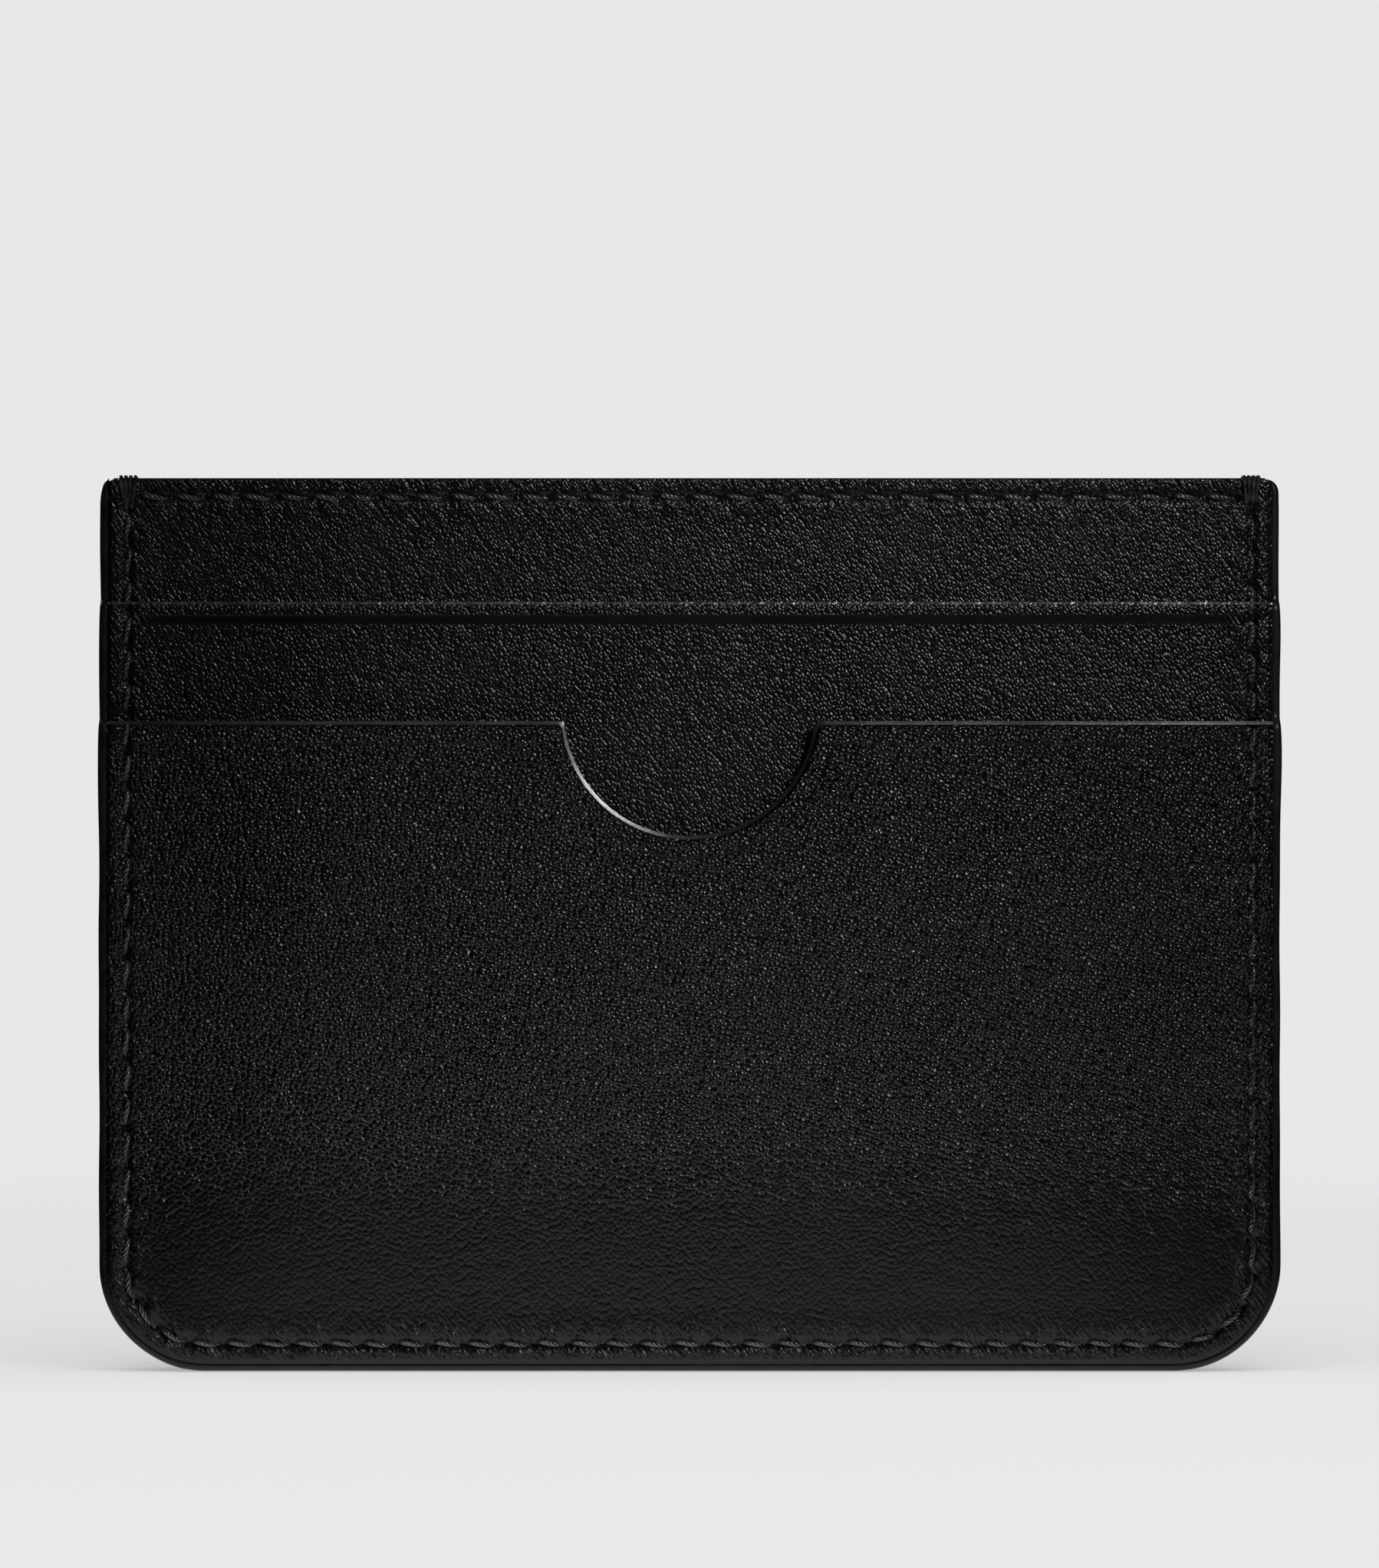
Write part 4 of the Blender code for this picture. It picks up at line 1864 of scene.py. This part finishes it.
@dataclass(frozen=True)
class CornerTack:
    """Turns of thread over the top edge at a corner, spread at the top and drawn together at their holes.

    Attributes:
        plan: The holder's sizes.
        turns: The number of turns.
        spread: The distance from one turn to the next on the top edge.
        gather: The same at the holes.
        bend: The radius at which a turn goes over the edge.
        dive: How far it goes in at its holes.
    """

    plan: Plan
    turns: int = 4
    spread: float = 0.40 * MM
    gather: float = 0.24 * MM
    bend: float = 0.42 * MM
    dive: float = 0.45 * MM

    def loop(self, name: str, x: float, share: float, drop: float) -> bpy.types.Object:
        """Models one turn, from its front hole over the top edge to its back hole.

        Args:
            name: The piece's name.
            x: The tack's place across.
            share: Where in the tack this turn lies, from -1 to 1.
            drop: How far below the top edge its holes are.

        Returns:
            The turn.
        """
        plan = self.plan
        half = (self.turns - 1) / 2
        radius = plan.thread / 2 * 0.92
        outer = plan.faces[Layer.PANEL.value][1] + radius * 0.5
        crown = plan.height + radius * 0.35
        bend = self.bend
        leg = np.linspace(-drop, -bend, 12)
        turn = np.linspace(0.0, math.pi / 2, 6)[1:]
        z = np.concatenate([leg, -bend + bend * np.sin(turn)])
        forward = np.concatenate([np.full(len(leg), outer), outer - bend + bend * np.cos(turn)])
        forward = forward - self.dive * ramp(z, -drop + 0.7 * MM, -drop)
        spread = share * half * (self.gather + (self.spread - self.gather) * ramp(z, -drop, 0.0))
        front = np.stack([x + spread, forward, crown + z], axis=1)
        across = np.linspace(outer - bend, -(outer - bend), 7)[1:-1]
        flat = np.ones(len(across))
        top = np.stack([flat * (x + share * half * self.spread), across, flat * crown], axis=1)
        back = front[::-1] * (1.0, -1.0, 1.0)
        path = np.concatenate([front, top, back])
        rings = round_rings(path, np.array([1.0, 0.0, 0.0]), np.full(len(path), radius), 10)
        return swept(name, rings, THREAD_BEND)

    def build(self, finishes: Finishes) -> None:
        """Builds and dresses the two tacks.

        Args:
            finishes: The materials.
        """
        for word, sign in (("left", -1.0), ("right", 1.0)):
            node = word + "_corner_tack"
            low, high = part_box(node)
            middle = (low.x + high.x) / 2
            drop = self.plan.height - low.z
            loops = []
            for k in range(self.turns):
                share = 2.0 * k / (self.turns - 1) - 1.0
                depth = drop * (1.0 - 0.12 * (k % 2))
                loops.append(self.loop(f"{node}_{k}", middle, share * sign, depth))
            settle(joined(loops, node + "_turns"), finishes.tack, node)


# --------------------------------------------------------------------------------------------------
# The studio
# --------------------------------------------------------------------------------------------------


@dataclass(frozen=True)
class Softbox:
    """A soft studio light.

    Attributes:
        name: The light's name.
        place: Where it hangs.
        aim: What it points at.
        size: Its width and height.
        power: In watts.
        spread: The width of its beam, in degrees.
        reach: What its light falls on.
    """

    name: str
    place: tuple[float, float, float]
    aim: tuple[float, float, float]
    size: tuple[float, float]
    power: float
    spread: float
    reach: Reach

    def build(self, stage: Sequence[bpy.types.Object]) -> None:
        """Hangs the light.

        Args:
            stage: The stage's pieces.
        """
        light = bpy.data.lights.new(self.name, "AREA")
        light.shape = "RECTANGLE"
        light.size, light.size_y = self.size
        light.energy = self.power
        light.spread = math.radians(self.spread)
        lamp = bpy.data.objects.new(self.name, light)
        lamp.location = self.place
        lamp.visible_camera = False
        listed = bpy.data.collections.new(self.name + "_stage")
        for piece in stage:
            listed.objects.link(piece)
        for member in listed.collection_objects:
            member.light_linking.link_state = "EXCLUDE" if self.reach is Reach.HOLDER else "INCLUDE"
        lamp.light_linking.receiver_collection = listed
        lamp.rotation_euler = (Vector(self.aim) - Vector(self.place)).to_track_quat("-Z", "Y").to_euler()
        bpy.context.scene.collection.objects.link(lamp)


@dataclass(frozen=True)
class Studio:
    """A pale floor that rises to a pale wall all round, softly lit from above and the upper right.

    Attributes:
        plan: The holder's sizes.
        tone: The floor's and the wall's brightness, far from the holder.
        paper: The floor's colour near it, from the darkest to the palest of its fibres.
        fade: How far from the holder the floor begins to glow more, and where only the glow is left.
        shine_reach: How far from the holder the floor's reflection begins to dim, and where it is gone.
        room: The colour of the room's fill.
        room_strength: How strong that is.
        near: Radius of the floor that takes part in reflections.
        far: Radius of the wall.
        distance: From the camera to the holder's front.
        lens: The camera's focal length, in millimetres.
        eye: The camera's height.
        sheen: How bright the floor is in the leather's reflection.
        fill: Share of the near floor's brightness that is even, which keeps the holder's shadow faint.
    """

    plan: Plan
    tone: Colour = (0.815, 0.802, 0.806, 1.0)
    paper: tuple[Colour, Colour] = ((0.815, 0.802, 0.802, 1.0), (0.825, 0.812, 0.812, 1.0))
    fade: tuple[float, float] = (0.16, 0.42)
    shine_reach: tuple[float, float] = (0.03, 0.09)
    room: Colour = (0.95, 0.98, 1.0, 1.0)
    room_strength: float = 0.004
    near: float = 0.45
    far: float = 3.2
    distance: float = 0.70
    lens: float = 190.2
    eye: float = 49.7 * MM
    sheen: float = 1.45
    fill: float = 0.5

    def camera(self) -> None:
        """Sets the camera level and square to the holder's front."""
        data = bpy.data.cameras.new("camera")
        data.lens = self.lens
        data.sensor_width = 36.0
        data.clip_start = 0.01
        camera = bpy.data.objects.new("camera", data)
        camera.location = (0.0, -self.distance - self.plan.faces[Layer.LOWER.value][1], self.eye)
        camera.rotation_euler = (math.pi / 2, 0.0, 0.0)
        bpy.context.scene.collection.objects.link(camera)
        bpy.context.scene.camera = camera

    def floor_material(self, name: str, glow: bool) -> bpy.types.Material:
        """Pale paper that fades into an even glow away from the holder, so that no horizon shows.

        Args:
            name: The material's name.
            glow: Whether all of it glows.

        Returns:
            The material.
        """
        made, graph, shader = fresh_material(name)
        where = graph.add("TexCoord").outputs["Object"]
        away = graph.add("VectorMath", {0: where}, operation="LENGTH").outputs["Value"]
        fade = 1.0 if glow else graph.remap(away, *self.fade, self.fill, 1.0)
        shader.inputs["Roughness"].default_value = 0.9
        shader.inputs["Specular IOR Level"].default_value = 0.0
        grain = graph.add("TexNoise", {"Vector": where, "Scale": 900.0, "Detail": 2.0})
        paper = graph.blend(grain.outputs[0], *self.paper)
        graph.tree.links.new(paper, shader.inputs["Base Color"])
        even = graph.add("Emission", {"Color": self.tone, "Strength": 1.0})
        mixed = graph.add("MixShader", {0: fade, 1: shader.outputs[0], 2: even.outputs[0]})
        # The floor near the holder glows for glossy rays, fading away from it: a painted reflection in the
        # leather.
        bright = graph.remap(away, *self.shine_reach, self.sheen, 0.0)
        sheen = graph.add("Emission", {"Color": (0.93, 0.97, 1.0, 1.0), "Strength": bright})
        seen = graph.add("LightPath").outputs["Is Glossy Ray"]
        mixed = graph.add("MixShader", {0: seen, 1: mixed.outputs[0], 2: sheen.outputs[0]})
        out = made.node_tree.nodes["Material Output"]
        graph.tree.links.new(mixed.outputs[0], out.inputs["Surface"])
        return made

    def floor(self) -> tuple[bpy.types.Object, bpy.types.Object]:
        """Lays the floor near the holder, and round it the floor and wall that only the camera sees.

        Returns:
            The near floor and the sweep.
        """
        deselect()
        bpy.ops.mesh.primitive_circle_add(vertices=96, radius=self.near, fill_type="NGON")
        near = bpy.context.object
        near.name = "studio_floor"
        near.data.materials.append(self.floor_material("pale_paper", False))
        deselect()
        bpy.ops.mesh.primitive_circle_add(vertices=96, radius=self.near, fill_type="NOTHING")
        sweep = bpy.context.object
        sweep.name = "studio_sweep"
        bpy.ops.object.mode_set(mode="EDIT")
        bpy.ops.mesh.select_all(action="SELECT")
        scale = self.far / self.near
        for rise, grow in ((0.0, scale), (0.12, 1.12), (0.38, 1.08), (0.7, 1.03), (2.5, 1.0)):
            bpy.ops.mesh.extrude_edges_move(TRANSFORM_OT_translate={"value": (0.0, 0.0, rise)})
            bpy.ops.transform.resize(value=(grow, grow, 1.0), center_override=(0.0, 0.0, 0.0))
        bpy.ops.mesh.select_all(action="SELECT")
        bpy.ops.mesh.normals_make_consistent(inside=True)
        bpy.ops.object.mode_set(mode="OBJECT")
        sweep.data.materials.append(self.floor_material("pale_wall", True))
        sweep.visible_glossy = False
        sweep.visible_diffuse = False
        sweep.visible_shadow = False
        return near, sweep

    def lights(self, pieces: Sequence[bpy.types.Object]) -> None:
        """Hangs the softboxes, and gives the room its dim fill.

        Args:
            pieces: The stage, which has an overhead light of its own.
        """
        aim, upper = (0.0, 0.0, 0.04), (0.008, 0.0, 0.056)
        small, wide, beam, all_round = (0.09, 0.09), (1.3, 1.3), 19.0, 180.0
        key = Softbox("key", (0.17, -0.26, 0.23), upper, small, 0.025, beam, Reach.HOLDER)
        turned = (-key.place[0], -key.place[1], key.place[2]), (-upper[0], -upper[1], upper[2])
        boxes = (
            key,
            Softbox("rear_key", *turned, small, key.power, beam, Reach.HOLDER),
            Softbox("overhead", (0.25, -0.35, 1.20), aim, wide, 1.2, all_round, Reach.HOLDER),
            Softbox("stage_light", (0.15, -0.70, 1.30), aim, (3.4, 3.0), 60.0, all_round, Reach.STAGE),
        )
        for box in boxes:
            box.build(pieces)
        world = bpy.data.worlds.new("room")
        world.use_nodes = True
        background = world.node_tree.nodes["Background"]
        background.inputs["Color"].default_value = self.room
        background.inputs["Strength"].default_value = self.room_strength
        bpy.context.scene.world = world
        bpy.context.scene.view_settings.view_transform = "Standard"

    def build(self) -> None:
        """Sets up the floor, the lights and the camera."""
        self.camera()
        self.lights(self.floor())
        log.info("studio: floor, sweep, lights and camera")


# --------------------------------------------------------------------------------------------------
# The whole
# --------------------------------------------------------------------------------------------------


def dress_hidden(finishes: Finishes) -> None:
    """Gives the CAD nodes that stay, the hidden card stop seams, their material.

    Args:
        finishes: The materials.
    """
    for half in Half:
        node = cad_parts[half.own("card_stop_seam")]
        node.data.materials.clear()
        node.data.materials.append(finishes.thread)
        log.info("%s: kept from the CAD model", node.name)


def main() -> None:
    """Builds the holder and the studio."""
    logging.basicConfig(level=logging.INFO, format="%(name)s: %(message)s")
    plan = Plan.from_frame()
    Studio(plan).build()
    finishes = Finishes()
    stitching = Stitching(plan)
    fine = 0.45 * MM
    panel = Sheet(
        plan,
        stitching,
        Layer.PANEL,
        swell=0.08 * MM,
        edge_roll=0.08 * MM,
        edge_reach=0.3 * MM,
        paint=0.06 * MM,
        bevel=2.5,
    )
    upper = TeePocket(
        plan,
        stitching,
        Layer.UPPER,
        swell=0.25 * MM,
        crease=1.50 * MM,
        crease_depth=0.09 * MM,
        crease_width=0.72 * MM,
        foot=plan.tongue_foot,
        edge_roll=0.16 * MM,
        edge_reach=0.50 * MM,
        paint=0.16 * MM,
        bevel=0.45,
    )
    lower = Sheet(
        plan,
        stitching,
        Layer.LOWER,
        swell=0.75 * MM,
        crease=1.90 * MM,
        crease_depth=-0.030 * MM,
        crease_width=0.07 * MM,
        crease_step=0.012 * MM,
        edge_roll=0.19 * MM,
        bevel=0.45,
    )
    spare = 1.0 * MM
    panel.build(finishes, fine, plan.height - plan.mouths[Layer.UPPER] + spare)
    band = plan.mouths[Layer.UPPER] - plan.mouths[Layer.LOWER]
    upper.build(finishes, fine, band + plan.notch_radius + spare)
    lower.build(finishes, fine, plan.mouths[Layer.LOWER])
    PaintedRim(plan).build(finishes)
    StitchRow(plan, stitching).build(finishes)
    CornerTack(plan).build(finishes)
    dress_hidden(finishes)


if __name__ == "__main__":
    main()
